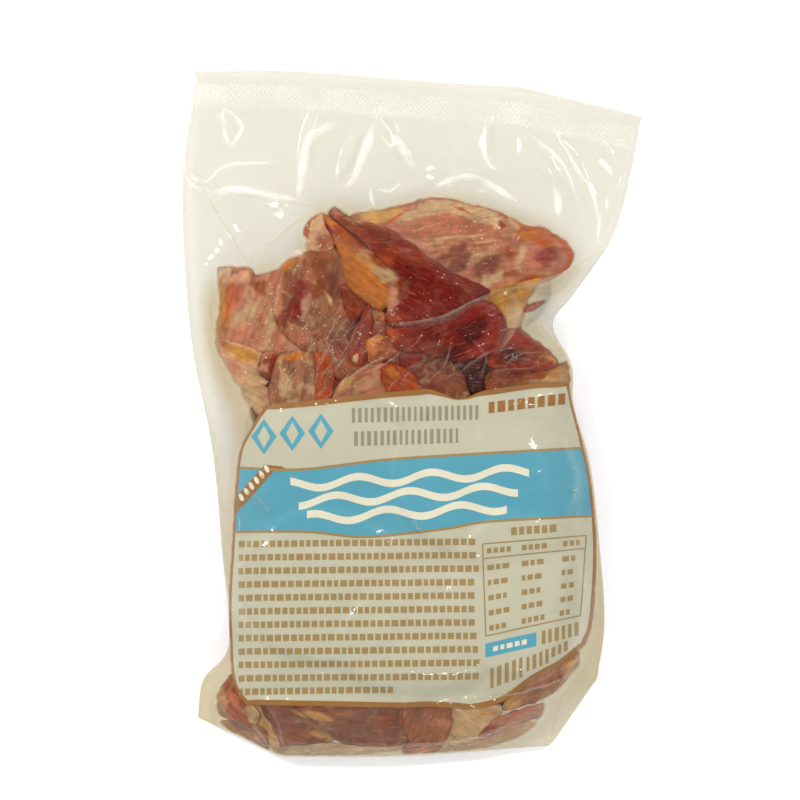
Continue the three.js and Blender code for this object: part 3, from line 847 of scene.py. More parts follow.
def lay_offcuts(specs, target, base, seed):
    """Drapes offcuts one over the other and fits the stack to the target height, evenly, so that
    the lumps stay. Returns the offcuts, the stack and the base as it was moved."""
    stack = base.copy()
    offcuts = [Offcut(spec, seed + 40 * k) for k, spec in enumerate(specs)]
    for offcut in offcuts:
        offcut.drape(stack)
    weight = in_meat + 1e-3
    lift = blur((target - stack) * weight, LIFT_REACH) / blur(weight, LIFT_REACH)
    fitted = np.full(stack.shape, NOTHING)
    for layer, offcut in enumerate(offcuts):
        offcut.fit(lift, target, layer)
        stamp(fitted, offcut.x, offcut.y, offcut.top)
    return offcuts, fitted, base + lift


INNER = (slice(1, -1), slice(1, -1))  # a grid without its edge


def over_and_under(top, foot):
    """What an offcut's points carry: the top's, then those of the foot that aren't on its edge."""
    return np.concatenate([part.reshape(-1, *top.shape[2:]) for part in (top, foot[INNER])])


def offcut_mesh(offcut, sign, material):
    """The closed mesh of one offcut. Sign is -1 for one that lies against the back film."""
    top_index = np.arange(offcut.x.size).reshape(offcut.x.shape)
    foot_index = top_index.copy()
    foot_index[INNER] = offcut.x.size + np.arange(top_index[INNER].size).reshape(top_index[INNER].shape)
    faces = np.vstack([grid_faces(top_index), grid_faces(foot_index)[:, ::-1]])
    top, foot = (np.dstack([offcut.x, offcut.y, sign * z]) for z in (offcut.top, offcut.foot))
    colour, fat = offcut.colours()
    grain = np.dstack([offcut.along / 7, offcut.across, np.full(offcut.x.shape, offcut.seed)])
    values = {"fat": over_and_under(fat, fat), "grain": over_and_under(grain, grain)}
    colours = over_and_under(colour, colour)
    made = new_mesh(offcut.spec["name"], over_and_under(top, foot), faces[:, ::sign], colours, values)
    return add_piece(made, material, "offcuts")


# ---- Films ----

SUCTION = 0.16  # curvature that the vacuum gives the free film, per mm
SETTLING = ((8, 300), (4, 200), (2, 160), (1, 140))  # cells in a step, and rounds at that step


def relax(start, support, held, suction):
    """Lets a film settle from coarse to fine, between the cells that are held."""
    coarsest = SETTLING[0][0]
    heights = start[::coarsest, ::coarsest]
    for times, rounds in SETTLING:
        floor, pinned, fixed = (field[::times, ::times] for field in (support, held, start))
        heights = np.where(pinned, fixed, np.maximum(heights, floor))
        dip = suction * (times * CELL) ** 2 / 4
        for _ in range(rounds):
            left, right, near, far = neighbours(np.pad(heights, 1, mode="edge"))
            mean = (left + right + near + far) / 4
            heights = np.where(pinned, fixed, np.maximum(floor, mean - dip))
        if times > 1:
            heights = refine(heights, 2)
    return heights


# ---- Build: offcuts ----

FRONT_SLACK = 0.3  # more room than the film's gap, for the lumps of the offcuts
BACK_SLACK = 1.2
CORE_UNDER_FRONT = 11  # depth of the core under the solid's front and back, where it is thick
CORE_OVER_BACK = 6
CORE_SHARE = 0.45  # in thin places, both its faces are this share of the depth over the back
CORE_SHRINK = 0.94
CORE_MIDDLE = (-4, -20)
CORE_END = 41
FRONT_SEED, BACK_SEED, CORE_SEED = 100, 5000, 9000

meat_line = under_eye(closed_line(MEAT_OUTLINE, 240))
CORE_OUTLINE = [  # the meat's outline drawn in, without its thin end at the upper right
    tuple(middle + CORE_SHRINK * (place - middle) for place, middle in zip(point, CORE_MIDDLE))
    for point in MEAT_OUTLINE if min(point) < CORE_END
]
in_meat = blur(inside(RASTER_X, RASTER_Y, meat_line).astype(float), 0.8)
front_target = cad_front - FILM_GAP - FRONT_SLACK
back_target = -(cad_back + FILM_GAP + BACK_SLACK)
front_base = np.maximum(cad_front - CORE_UNDER_FRONT, cad_back + CORE_SHARE * depth)
back_base = -(cad_back + np.minimum(CORE_OVER_BACK, CORE_SHARE * depth))

front_offcuts, front_stack, core_front = lay_offcuts(FRONT_OFFCUTS, front_target, front_base, FRONT_SEED)
back_offcuts, back_stack, core_back = lay_offcuts(BACK_OFFCUTS, back_target, back_base, BACK_SEED)

# ---- The label's outline, in millimetres of the bag as the camera sees it ----

LABEL_FOOT = [
    (-60, -104.6), (-28.6, -105.3), (-4.5, -105.7), (5.6, -105.4), (15.7, -105.8), (22, -106.2),
    (32.9, -103.3), (44.1, -95.4), (53.5, -90.2), (62.1, -83.2),
]
LABEL_TOP = [
    (-53.1, 3.2), (-34.4, 5), (-10.3, 7.7), (0.9, 8.6), (6, 8.9), (10.6, 7.4), (15.5, 5.5), (19.5, 5.9),
    (24, 7.8), (29, 8.9), (44.8, 11.2), (56.3, 11.4),
]
LABEL_LEFT = [
    (-60, -104.6), (-63.6, -99), (-65.2, -92), (-65.7, -83.5), (-66.1, -67), (-64.7, -42.5), (-63.8, -27),
    (-62.1, -13), (-57.6, -4.2), (-53.1, 3.2),
]
LABEL_RIGHT = [
    (62.1, -83.2), (64.6, -75.6), (65.9, -61.2), (66.2, -45.7), (64.3, -24.8), (61, -9.4), (57.5, 4),
    (56.3, 11.4),
]
LEFT_SIDE, RIGHT_SIDE = smooth_line(LABEL_LEFT, 140), smooth_line(LABEL_RIGHT, 130)


def label_loop():
    """The label's outline, in order, with the width of its border at each place."""
    top = smooth_line(LABEL_TOP, 150)[::-1][1:]
    sides = [
        (smooth_line(LABEL_FOOT, 160), np.full(160, 1.9)),
        (RIGHT_SIDE[1:], np.linspace(1.5, 0.8, 129)),
        (top, 0.35 + 1.65 * ease(np.abs(top[:, 0] - 16.5), 2, 10)),
        (LEFT_SIDE[::-1][1:-1], np.full(138, 1.0)),
    ]
    loop = np.vstack([places for places, _ in sides])
    widths = np.concatenate([width for _, width in sides])
    near = np.stack([np.roll(widths, shift) for shift in range(-6, 7)])
    return loop, near.mean(axis=0)


# ---- Build: films ----

# Sharp folds that stand up between what holds the film: x, y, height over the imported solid.
FOLDS = [
    [(-81, 87, 0.2), (-72, 82, 0.8), (-52, 78, 0.8), (-33, 72, 0.5)],
    [(-59, 52, 0.3), (-52, 60, 0.6), (-42, 69, 0.7), (-31, 72, 0.5)],
    [(-59, 53, 0.2), (-70, 71, 0.8), (-80, 87, 0.2)],
    [(-8, 32, 0.2), (8, 34, 0.5), (20, 38, 0.8), (33, 45, 0.8)],
    [(33, 45, 0.8), (45, 46.5, 0.7), (61, 53, 0.7), (67, 59, 0.2)],
    [(33, 45, 0.8), (38, 38, 0.7), (30, 28, 0.3), (25, 25, 0.0)],
    [(46, 33, 0.5), (51, 26, 0.7), (56, 17, 0.3)],
    [(64, -87, 0.3), (52, -96, 0.9), (39, -104, 0.2)],
    [(53, -98, 0.6), (51, -108, 0.8), (50, -118, 0.2)],
    [(-63, -100, 0.2), (-58, -108, 0.9), (-49, -121, 0.4)],
]
FOLD_SLOPE = 1.3  # how steeply the film falls away from a sharp fold

# Air pockets where the bag is empty: x, y, half length, half width, turn, rise.
POCKETS = [
    (-66, 104, 7, 3.4, -62, 1.6), (-56, 90, 14, 5, 6, 1.0), (-37, 99, 15, 3.6, 80, 1.8),
    (-22, 95, 15, 3.4, 66, 2.0), (-9, 103, 9, 3.2, -70, 1.9), (-4, 95, 7, 4.2, -50, 2.0),
    (20, 87, 19, 6.5, -4, 1.8), (27, 99, 10, 2.4, 84, 1.2), (48, 88, 22, 3.6, -56, 1.7),
    (60, 84, 26, 4, -62, 1.6), (69, 94, 6, 3, -60, 1.0), (72, 76, 14, 3, 70, 0.9),
]


def fold_support():
    """What the folds hold the film up to."""
    support = np.full(RASTER_X.shape, NOTHING)
    for points in FOLDS:
        line = smooth_line(points, 60)
        for x, y, proud in line:
            reach = np.hypot(RASTER_X - x, RASTER_Y - y)
            height = sample(cad_front, np.array(x), np.array(y)) + proud
            support = np.where(reach < 4, np.maximum(support, height - FOLD_SLOPE * reach), support)
    return support


def pocket_rise():
    """How far the air pockets lift the front film."""
    rise = np.zeros(RASTER_X.shape)
    for x, y, half_length, half_width, turn, height in POCKETS:
        a, b = turned(RASTER_X - x, RASTER_Y - y, turn)
        ragged = 0.12 * noise(RASTER_X, RASTER_Y, 7, int(abs(x) * 7))
        reach = np.hypot(a / half_length, b / half_width) + ragged
        rise = np.maximum(rise, height * (1 - ease(reach, 0.15, 1)))
    return rise


def streaks_along(direction_x, direction_y, size, length, seed):
    """Noise drawn out into streaks that follow a direction at each place."""
    norm = np.hypot(direction_x, direction_y) + 1e-6
    grain = rough_noise(RASTER_X, RASTER_Y, size, seed, 2)
    total = grain.copy()
    steps = int(length / CELL)
    for sign in (-1, 1):
        x, y = RASTER_X.copy(), RASTER_Y.copy()
        for _ in range(steps):
            x += sign * CELL * sample(direction_x / norm, x, y)
            y += sign * CELL * sample(direction_y / norm, x, y)
            total += sample(grain, x, y)
    return total / math.sqrt(2 * steps + 1)


def wrinkles(front):
    """Fine creases that run down the slopes of the film, where it has gathered."""
    broad = blur(front, 3)
    slope_y, slope_x = np.gradient(broad, CELL)
    steep = np.hypot(slope_x, slope_y)
    streak = streaks_along(slope_x, slope_y, 2.2, 7, 900)
    crest = 1 - np.clip(np.abs(streak) * 1.6, 0, 1)
    gathered = ease(steep, 0.12, 0.5) * in_bag
    return gathered * crest**2


WRINKLE = 0.35  # height of the fine creases
FREE_SINK = 1.6  # how far the film may sink between the offcuts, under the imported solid's face


def solve_front():
    """The front film, drawn down over the offcuts, the folds and the back film."""
    over_meat = front_stack + FILM_GAP
    bag_face = np.where(in_meat > 0.5, cad_front - FREE_SINK, cad_front - 0.4)
    support = np.maximum.reduce([cad_back + PAIR_GAP, over_meat, fold_support(), bag_face])
    front = relax(cad_front, support, ~in_bag, SUCTION)
    front = front + pocket_rise() * (1 - in_heap) * in_bag
    creased = wrinkles(front)
    front = blur(np.maximum(front + WRINKLE * creased, over_meat), 0.4)
    return np.maximum(front, over_meat - 0.15), creased


front_film, creased = solve_front()
back_film = np.where(in_meat > 0.5, np.minimum(cad_back, -back_stack - FILM_GAP), cad_back)
back_film = np.maximum(blur(back_film, 0.6), TABLE_GAP)
front_film = np.maximum(front_film, back_film + LEAST_GAP)
in_label = inside(RASTER_X, RASTER_Y, under_eye(label_loop()[0]))


def film_air():
    """How milky the film is: most where air is under it, and a little over the meat. Along the meat's edge
    it is milkier still, which lightens the shade that falls there between the films.
    """
    bare = 1 - in_label
    gap = front_film - front_stack
    covered = ((front_stack > 0) | (in_meat > 0.9) | in_label).astype(float)
    brim = 1 - np.abs(2 * blur(covered, 1.6) - 1)  # 1 along the edge of the meat
    border = ease(blur(in_bag.astype(float), 2.5), 1.0, 0.55)  # 1 along the bag's edge
    open_film = 1 - ease(blur(covered, 0.5), 0.3, 0.9)
    veil = 0.008 * ease(gap, 0.8, 3.0) + 0.045 * blur(creased, 0.3)
    # Painted light: extra milk along the meat's edge covers the shade that falls there between the films.
    veil += brim * (0.12 + 0.4 * ease(gap, 0.5, 1.8)) * bare
    veil += 0.1 * ease(RASTER_Y, -98, -107) * bare
    # Painted light: the film is milkier along the meat's edge, over the shade there.
    return np.maximum(open_film * np.maximum(0.72 + 0.28 * brim, border), veil)


def film_juice():
    """Where the meat's juice has tinted the film: round the meat and down to the foot."""
    round_meat = ease(blur(in_meat, 5), 0.02, 0.6)
    beside_meat = ease(blur(in_meat, 6), 0.0, 0.32) * ease(RASTER_Y, 60, 40)
    juice = np.maximum.reduce([round_meat, beside_meat, ease(RASTER_Y, 20, -80)])
    return juice * (1 - 0.45 * ease(RASTER_X, 25, 45) * ease(RASTER_Y, -95, -108))


looks = {
    "air": film_air(),
    "juice": film_juice(),
    "tight": blur(((front_stack > 0) & ~in_label).astype(float), 0.8),
}

FRONT_COLUMNS, FRONT_ROWS = 228, 342  # points of the films, across and along the bag
BACK_COLUMNS, BACK_ROWS = 150, 225


def film_sheet(name, heights, columns, rows, flip, material):
    """One film of the bag. Its edge is on the bag's seams."""
    x, y, z = np.moveaxis(bag_grid(columns, rows), 2, 0).copy()
    z[INNER] = sample(heights, x, y)[INNER]
    faces = sheet_faces(x.shape)
    values = {key: sample(field, x, y).ravel() for key, field in looks.items()}
    made = new_mesh(name, listed(x, y, z), faces[:, ::-1] if flip else faces, values=values)
    return add_piece(made, material, "film", "bag")


# Pleats that the film has been pinched into: width, height, and the places that they run through.
OPEN_END_PLEATS = [
    (1.5, 0.6, [(-68, 110.5), (-64, 107), (-61.7, 102), (-65, 96)]),
    (1.2, 0.6, [(-68, 110.5), (-68.6, 106), (-67, 100), (-65, 96)]),
    (1.3, 0.5, [(-75, 82.5), (-68.5, 88.5), (-60, 90), (-49.5, 90.5)]),
    (1.0, 0.5, [(-82, 86.5), (-79.5, 82.5), (-75.8, 80.5)]),
    (3.0, 0.9, [(-75, 79), (-62, 80.5), (-49.5, 78), (-40, 76)]),
    (3.2, 1.2, [(-41, 77), (-39.5, 89.5), (-37.3, 98.5), (-32.5, 102.2), (-26.8, 105)]),
    (3.0, 1.1, [(-24.5, 80.5), (-20.7, 86), (-16.5, 97), (-14, 104)]),
    (1.0, 0.5, [(-11.7, 106.5), (-7.4, 100.5), (-7.4, 96), (-11.5, 100)]),
    (3.4, 1.0, [(-7, 101), (-3, 95), (0.5, 88)]),
    (1.2, 0.5, [(-15.3, 81.7), (-14.2, 77), (-13, 74)]),
    (1.4, 0.6, [(-12, 81), (-8, 80), (-4, 83)]),
    (2.4, 0.9, [(7, 80.5), (13.5, 84.2), (22.5, 85), (29.7, 81.4), (38, 76)]),
    (2.0, 0.7, [(26.8, 104), (25.4, 97), (26.5, 91.5), (29, 87.5)]),
    (1.1, 0.7, [(41.6, 101), (46, 97.5), (51.3, 93), (56, 86), (59, 77)]),
    (1.4, 0.7, [(53, 98.5), (58.5, 89.5), (64.6, 80.5), (67, 68), (66.5, 60)]),
    (2.6, 0.5, [(51, 82), (52, 76), (52.5, 71)]),
    (2.0, 0.5, [(67, 92), (70, 88.5), (72, 86)]),
    (1.6, 0.5, [(38, 100), (38.5, 96), (38, 93)]),
]
MEAT_PLEATS = [
    (2.6, 0.8, [(-8, 31), (2, 32), (12, 34.4), (22, 39), (33, 44.5)]),
    (1.8, 0.7, [(31, 43.5), (44, 46), (56, 51), (66, 58)]),
    (4.8, 0.7, [(32, 45), (36, 39), (34.5, 32), (31, 25), (28, 22)]),
    (1.0, 0.6, [(43, 36), (48, 29), (53, 23), (56, 17)]),
    (1.0, 0.5, [(37, 42), (43, 33), (46, 27)]),
    (1.0, 0.5, [(40, 44), (50, 43), (57, 47)]),
    (1.2, 0.7, [(-60, 52), (-54, 58), (-45, 66), (-36, 72)]),
    (0.9, 0.5, [(-58, 52), (-66, 66), (-77, 84)]),
    (0.9, 0.5, [(-80, 88), (-66, 80), (-48, 77), (-32, 73)]),
    (0.9, 0.6, [(-31, 5), (-24, 12), (-14, 18), (-10, 22)]),
    (0.8, 0.5, [(-29, 17), (-23, 24), (-17, 36)]),
    (0.8, 0.4, [(-24, 14), (-30, 24), (-31, 32)]),
    (0.8, 0.4, [(-21, 14), (-12, 16), (-5, 21)]),
    (0.7, 0.4, [(-38, 12), (-31, 20), (-28, 28)]),
    (0.8, 0.4, [(4, 10), (12, 18), (14, 26)]),
    (0.8, 0.4, [(24, 12), (26, 20), (20, 28)]),
    (0.8, 0.5, [(30, 14), (36, 20), (46, 22)]),
    (1.2, 0.8, [(65, -87), (53, -94), (40, -98), (20, -102)]),
    (1.0, 0.6, [(55, -97), (52, -106), (50, -117)]),
    (1.0, 0.6, [(-62, -90), (-65, -98), (-74, -107)]),
    (0.9, 0.5, [(-64, -102), (-58, -109), (-50, -121)]),
    (1.0, 0.5, [(-52, -103), (-48, -110), (-46, -120)]),
    (1.0, 0.4, [(-30, -121), (-8, -119), (20, -116), (40, -109)]),
    (0.8, 0.4, [(-66, 6), (-70, 22), (-73, 40)]),
    (0.7, 0.4, [(-62, 14), (-58, 2), (-56, -4)]),
]
PLEAT_STEP = 0.45
PLEAT_PROFILE = np.linspace(-1, 1, 9)  # places across a pleat

# Where the film is finely gathered: x from, x to, y from, y to, direction, how many creases.
GATHERED = [(-50, 6, 4, 24, 0.85, 34), (2, 46, 12, 22, 0.4, 12), (-34, -14, 20, 36, 1.0, 10)]


def gathers():
    """Routes of short, fine creases, up from the label."""
    rng = np.random.RandomState(8)
    routes = []
    for left, right, low, high, direction, count in GATHERED:
        for _ in range(count):
            start = np.array([rng.uniform(left, right), rng.uniform(low, high)])
            angle, length = rng.normal(direction, 0.2), rng.uniform(5, 14)
            run = length * np.array([math.cos(angle), math.sin(angle)])
            bend = rng.uniform(-0.12, 0.12) * np.array([-run[1], run[0]])
            routes.append((rng.uniform(0.5, 1.3), 0.35, [start, start + run / 2 + bend, start + run]))
    return routes


def crest_painted_highlight(side):
    """Painted highlight across a pleat's width, drawn as white milk: most along its crest."""
    return (1 - side**2) ** 0.7


def one_side_painted_highlight(side):
    """Painted highlight across a crease's width, drawn as white milk: more and more towards one side, as if
    that slope caught the light.
    """
    return (side < 0.9) * (1 + side) ** 2 / 4


def pleat_grid(width, height, route, seed):
    """A pleat's places, and how far it has risen, from 0 to 1, along its route."""
    length = np.hypot(*np.diff(np.array(route, float), axis=0).T).sum()
    line = smooth_line(route, max(8, int(length / PLEAT_STEP)))
    stray = [rough_noise(*line.T, 7, seed + first) for first in (300, 340)]
    line += 0.6 * np.stack(stray, axis=1)
    onward = np.gradient(line, axis=0)
    side = np.stack([-onward[:, 1], onward[:, 0]], axis=1) / np.hypot(*onward.T)[:, None]
    fade = np.sin(np.linspace(0, math.pi, len(line))) ** 0.6
    fade = (fade * (0.8 + 0.3 * noise(*line.T, 4, 380 + seed)))[:, None]
    off = PLEAT_PROFILE * width * 0.7 * (0.3 + 0.7 * fade)
    x, y = np.moveaxis(line[:, None] + side[:, None] * off[..., None], 2, 0)
    rise = height * fade * (np.cos(PLEAT_PROFILE * math.pi) + 1) / 2
    return x, y, sample(front_film, x, y) + rise - 0.03, fade


def pleats_mesh(name, pleats, material, highlight_most, tint, highlight_across):
    """A set of pleats: narrow ridges of film that stand on the front film and fade at their ends.
    Each is drawn with a painted highlight in white milk; the last argument gives how it runs across their
    width, from one side to the other."""
    points, faces, bright, count = [], [], [], 0
    for seed, pleat in enumerate(pleats):
        *places, fade = pleat_grid(*pleat, seed)
        points.append(listed(*places))
        faces.append(sheet_faces(places[0].shape, count)[:, ::-1])
        # Painted highlight: white milk across each pleat, faded towards its ends.
        bright.append((highlight_most * fade * highlight_across(PLEAT_PROFILE)).ravel())
        count += places[0].size
    values = {"air": np.concatenate(bright), "juice": np.full(count, tint)}
    made = new_mesh(name, np.vstack(points), np.vstack(faces), values=values)
    made.visible_shadow = False
    return add_piece(made, material, "film")


SEAL_MARGIN = 4.5  # plain film between the seal and the bag's edge
SEAL_DEPTH = 8.5
SEAL_PITCH = 1.9  # of the seal's embossed diamonds
SEAL_RELIEF = 0.13
SEAL_STEP = 0.3
SEAL_LENGTH = 165  # about the bag's width
BAG_LENGTH = 236  # from the foot to the open end, along the middle


def seal_band(material):
    """The heat seal, embossed with a fine mesh of diamonds, along the bag's top edge. The diamonds' crests
    carry a painted highlight, drawn as white milk.
    """
    places = bag_grid(int(SEAL_LENGTH / SEAL_STEP), 240)[:, 3:-3]
    down = np.linspace(SEAL_MARGIN, SEAL_MARGIN + SEAL_DEPTH, int(SEAL_DEPTH / SEAL_STEP))[::-1]
    level = (1 - down / BAG_LENGTH) * (places.shape[0] - 1)
    low = level.astype(int)
    part = (level - low)[:, None, None]
    x, y = np.moveaxis(places[low] * (1 - part) + places[low + 1] * part, 2, 0)[:2]
    down = down[:, None]
    slants = [np.arange(x.shape[1]) * SEAL_STEP + sign * down for sign in (1, -1)]
    diamonds = np.prod([np.sin(math.pi * slant / SEAL_PITCH) for slant in slants], axis=0)
    fade = ease(np.minimum(down - SEAL_MARGIN, SEAL_MARGIN + SEAL_DEPTH - down), 0, 0.8)
    patchy = 0.55 + 0.45 * noise(x, y, 9, 77)
    ridge = ease(np.abs(diamonds), 0.75, 0.2) * fade * patchy
    z = sample(front_film, x, y) + 0.12 + SEAL_RELIEF * ridge
    # Painted highlight: white milk on the diamonds' crests, for their glints.
    values = {"air": 0.45 * ridge.ravel(), "juice": np.zeros(x.size)}
    made = new_mesh("heat-seal", listed(x, y, z), sheet_faces(x.shape), values=values)
    made.visible_shadow = False
    return add_piece(made, material, "film")


def core_mesh(material):
    """The meat under the offcuts, which shows only in the gaps between them."""
    spec = dict(name="core", thick=1, turn=90, lean=RED, marble=0.35, step=1.1, outline=CORE_OUTLINE)
    core = Offcut(spec, CORE_SEED)
    swell = np.sqrt(1 - (1 - np.clip(core.to_edge / 5, 0, 1)) ** 2)
    high = sample(core_front, core.x, core.y) + 0.5 * rough_noise(core.x, core.y, 6, CORE_SEED + 100)
    high = np.minimum(high, sample(front_film, core.x, core.y) - 1)
    low = -sample(core_back, core.x, core.y)
    middle = (high + low) / 2
    core.top = middle + np.maximum(high - middle, 0.05) * swell
    core.foot = np.minimum(middle + np.minimum(low - middle, -0.05) * swell, core.top - 0.01)
    return offcut_mesh(core, 1, material)


# ---- Materials ----

def new_material(name):
    """A material with an empty node tree and its output."""
    material = bpy.data.materials.new(name)
    material.use_nodes = True
    material.node_tree.nodes.clear()
    return material, material.node_tree.nodes.new("ShaderNodeOutputMaterial")


def node(tree, kind, inputs=None, **settings):
    """A node with its settings. Each input is a value or another node's output."""
    made = tree.nodes.new("ShaderNode" + kind)
    for key, value in settings.items():
        setattr(made, key, value)
    for key, value in (inputs or {}).items():
        if isinstance(value, bpy.types.NodeSocket):
            tree.links.new(value, made.inputs[key])
        else:
            made.inputs[key].default_value = value
    return made


def here(tree):
    """The place on the object."""
    return node(tree, "TexCoord").outputs["Object"]


def carried(tree, name, output="Fac"):
    """What the mesh's points carry under a name."""
    return node(tree, "Attribute", attribute_name=name).outputs[output]


def cloudy(tree, place, scale, detail=2.0, roughness=0.5, distortion=0.0):
    """Cloudy noise from 0 to 1."""
    return node(tree, "TexNoise", {
        "Vector": place, "Scale": scale, "Detail": detail, "Roughness": roughness, "Distortion": distortion,
    }).outputs["Fac"]


def ranged(tree, value, low, high, start=0.0, end=1.0):
    """Runs from low to high while the value runs from start to end."""
    return node(tree, "MapRange", {
        "Value": value, "From Min": start, "From Max": end, "To Min": low, "To Max": high,
    }).outputs["Result"]


def combined(tree, operation, first, second, kind="Math"):
    """Two values put together."""
    return node(tree, kind, {0: first, 1: second}, operation=operation).outputs[0]


def blended(tree, share, first, second):
    """A colour between two others."""
    return node(tree, "MixRGB", {0: share, 1: first, 2: second}).outputs[0]


def layered(tree, share, first, second):
    """A shader between two others."""
    return node(tree, "MixShader", {0: share, 1: first.outputs[0], 2: second.outputs[0]})


DEEPEN = 1.16  # wet meat is deeper in colour than the palette
THREAD = (*srgb(190, 140, 112), 1)  # pale threads along the fibres
FILM_TINT = (0.955, 0.955, 0.935, 1)  # what one film lets through where it is clear
JUICE_TINT = (0.945, 0.92, 0.845, 1)  # and where the meat has left a trace of juice
HAZE_COLOUR = (*srgb(231, 228, 217), 1)
JUICE_HAZE = (*srgb(219, 206, 172), 1)
WHITE = (1, 1, 1, 1)


def meat_material():
    """Moist cured meat: the colour of each place, with fibres, fine fat and a wet, uneven gloss."""
    material, output = new_material("cured-meat")
    tree = material.node_tree
    place, grain = here(tree), carried(tree, "grain", "Vector")
    fibre = cloudy(tree, grain, 0.9, 3.0)
    speck = cloudy(tree, place, 420.0, 5.0, 0.6)
    vein = ranged(tree, cloudy(tree, place, 190.0, 5.0, 0.62, 0.5), 0.0, 0.9, 0.35, 0.65)
    # Gives a piece its material, hangs it under the body and hides the imported parts that it replaces.
    fat = combined(tree, "MULTIPLY", vein, carried(tree, "fat"))
    colour = blended(tree, fat, carried(tree, "meat", "Color"), (*FAT, 1))
    thread = ranged(tree, cloudy(tree, grain, 1.7, 4.0), 0.0, 0.42, 0.56, 0.72)
    colour = blended(tree, thread, colour, THREAD)
    colour = node(tree, "Gamma", {"Color": colour, "Gamma": DEEPEN}).outputs["Color"]
    long_shade = ranged(tree, fibre, 0.82, 1.2, 0.3, 0.7)
    shade = combined(tree, "MULTIPLY", long_shade, ranged(tree, speck, 0.78, 1.2, 0.3, 0.7))
    height = combined(tree, "ADD", fibre, speck)
    surface = node(tree, "BsdfPrincipled", {
        "Base Color": combined(tree, "MULTIPLY", colour, shade, "VectorMath"),
        "Roughness": ranged(tree, speck, 0.3, 0.55),
        "Normal": node(tree, "Bump", {"Height": height, "Strength": 0.35, "Distance": 0.0005}).outputs[0],
        "Subsurface Weight": 0.3,
        "Subsurface Radius": (0.003, 0.001, 0.0006),
        "Subsurface Scale": 1.0,
        "Specular IOR Level": 0.1,
    })
    tree.links.new(surface.outputs["BSDF"], output.inputs["Surface"])
    return material


def film_material(name, haze_most, relief, tint_colour=FILM_TINT, haze_colour=HAZE_COLOUR):
    """Clear film: it lets light through, shines more at a slant, and is milky where air is under it. On the
    pleats and the seal, the same milk draws painted highlights."""
    material, output = new_material(name)
    tree = material.node_tree
    place, juice = here(tree), carried(tree, "juice")
    ripple, fine = cloudy(tree, place, 110.0, 3.0), cloudy(tree, place, 620.0)
    cling = ranged(tree, carried(tree, "tight"), 0.05, 1.0)
    rippled = node(tree, "Bump", {"Height": ripple, "Strength": relief, "Distance": 0.0012})
    bump = node(tree, "Bump", {
        "Height": fine, "Strength": cling, "Distance": 0.0006, "Normal": rippled.outputs[0],
    }).outputs[0]
    milk_colour = blended(tree, juice, haze_colour, JUICE_HAZE)
    clear = node(tree, "BsdfTransparent", {"Color": blended(tree, juice, tint_colour, JUICE_TINT)})
    gloss = node(tree, "BsdfGlossy", {"Color": WHITE, "Roughness": 0.06, "Normal": bump})
    milk = node(tree, "BsdfDiffuse", {"Color": milk_colour, "Normal": bump})
    through = node(tree, "BsdfTranslucent", {"Color": milk_colour})
    milky = layered(tree, 0.3, milk, through)
    body = layered(tree, ranged(tree, carried(tree, "air"), 0.0, haze_most), clear, milky)
    slant = node(tree, "LayerWeight", {"Blend": 0.5, "Normal": bump}).outputs["Facing"]
    shine = ranged(tree, combined(tree, "POWER", slant, 4.5), 0.012, 0.9)
    whole = layered(tree, shine, body, gloss)
    tree.links.new(whole.outputs[0], output.inputs["Surface"])
    return material


def ink_material(name, colour):
    """Printed ink: a flat colour with a faint unevenness."""
    material, output = new_material(name)
    tree = material.node_tree
    shade = ranged(tree, cloudy(tree, here(tree), 140.0, 4.0), 0.94, 1.06)
    surface = node(tree, "BsdfPrincipled", {
        "Base Color": combined(tree, "MULTIPLY", tuple(colour), shade, "VectorMath"),
        "Roughness": 0.5,
        "Specular IOR Level": 0.2,
    })
    tree.links.new(surface.outputs["BSDF"], output.inputs["Surface"])
    return material


# ---- Print ----
# All in the label's plan, in millimetres of the bag, and laid just under the front film.

BAND_TOP = [(-63.2, -19.4), (-39.8, -20), (-10.3, -16.6), (22.9, -14.4), (62.6, -12.2)]
BAND_FOOT = [(-64.8, -42.5), (-37.6, -42.5), (-16.7, -44.3), (11.7, -41.4), (28.3, -38.7), (65.5, -36.7)]
PRINT_STEP = 0.8  # distance between the print's points


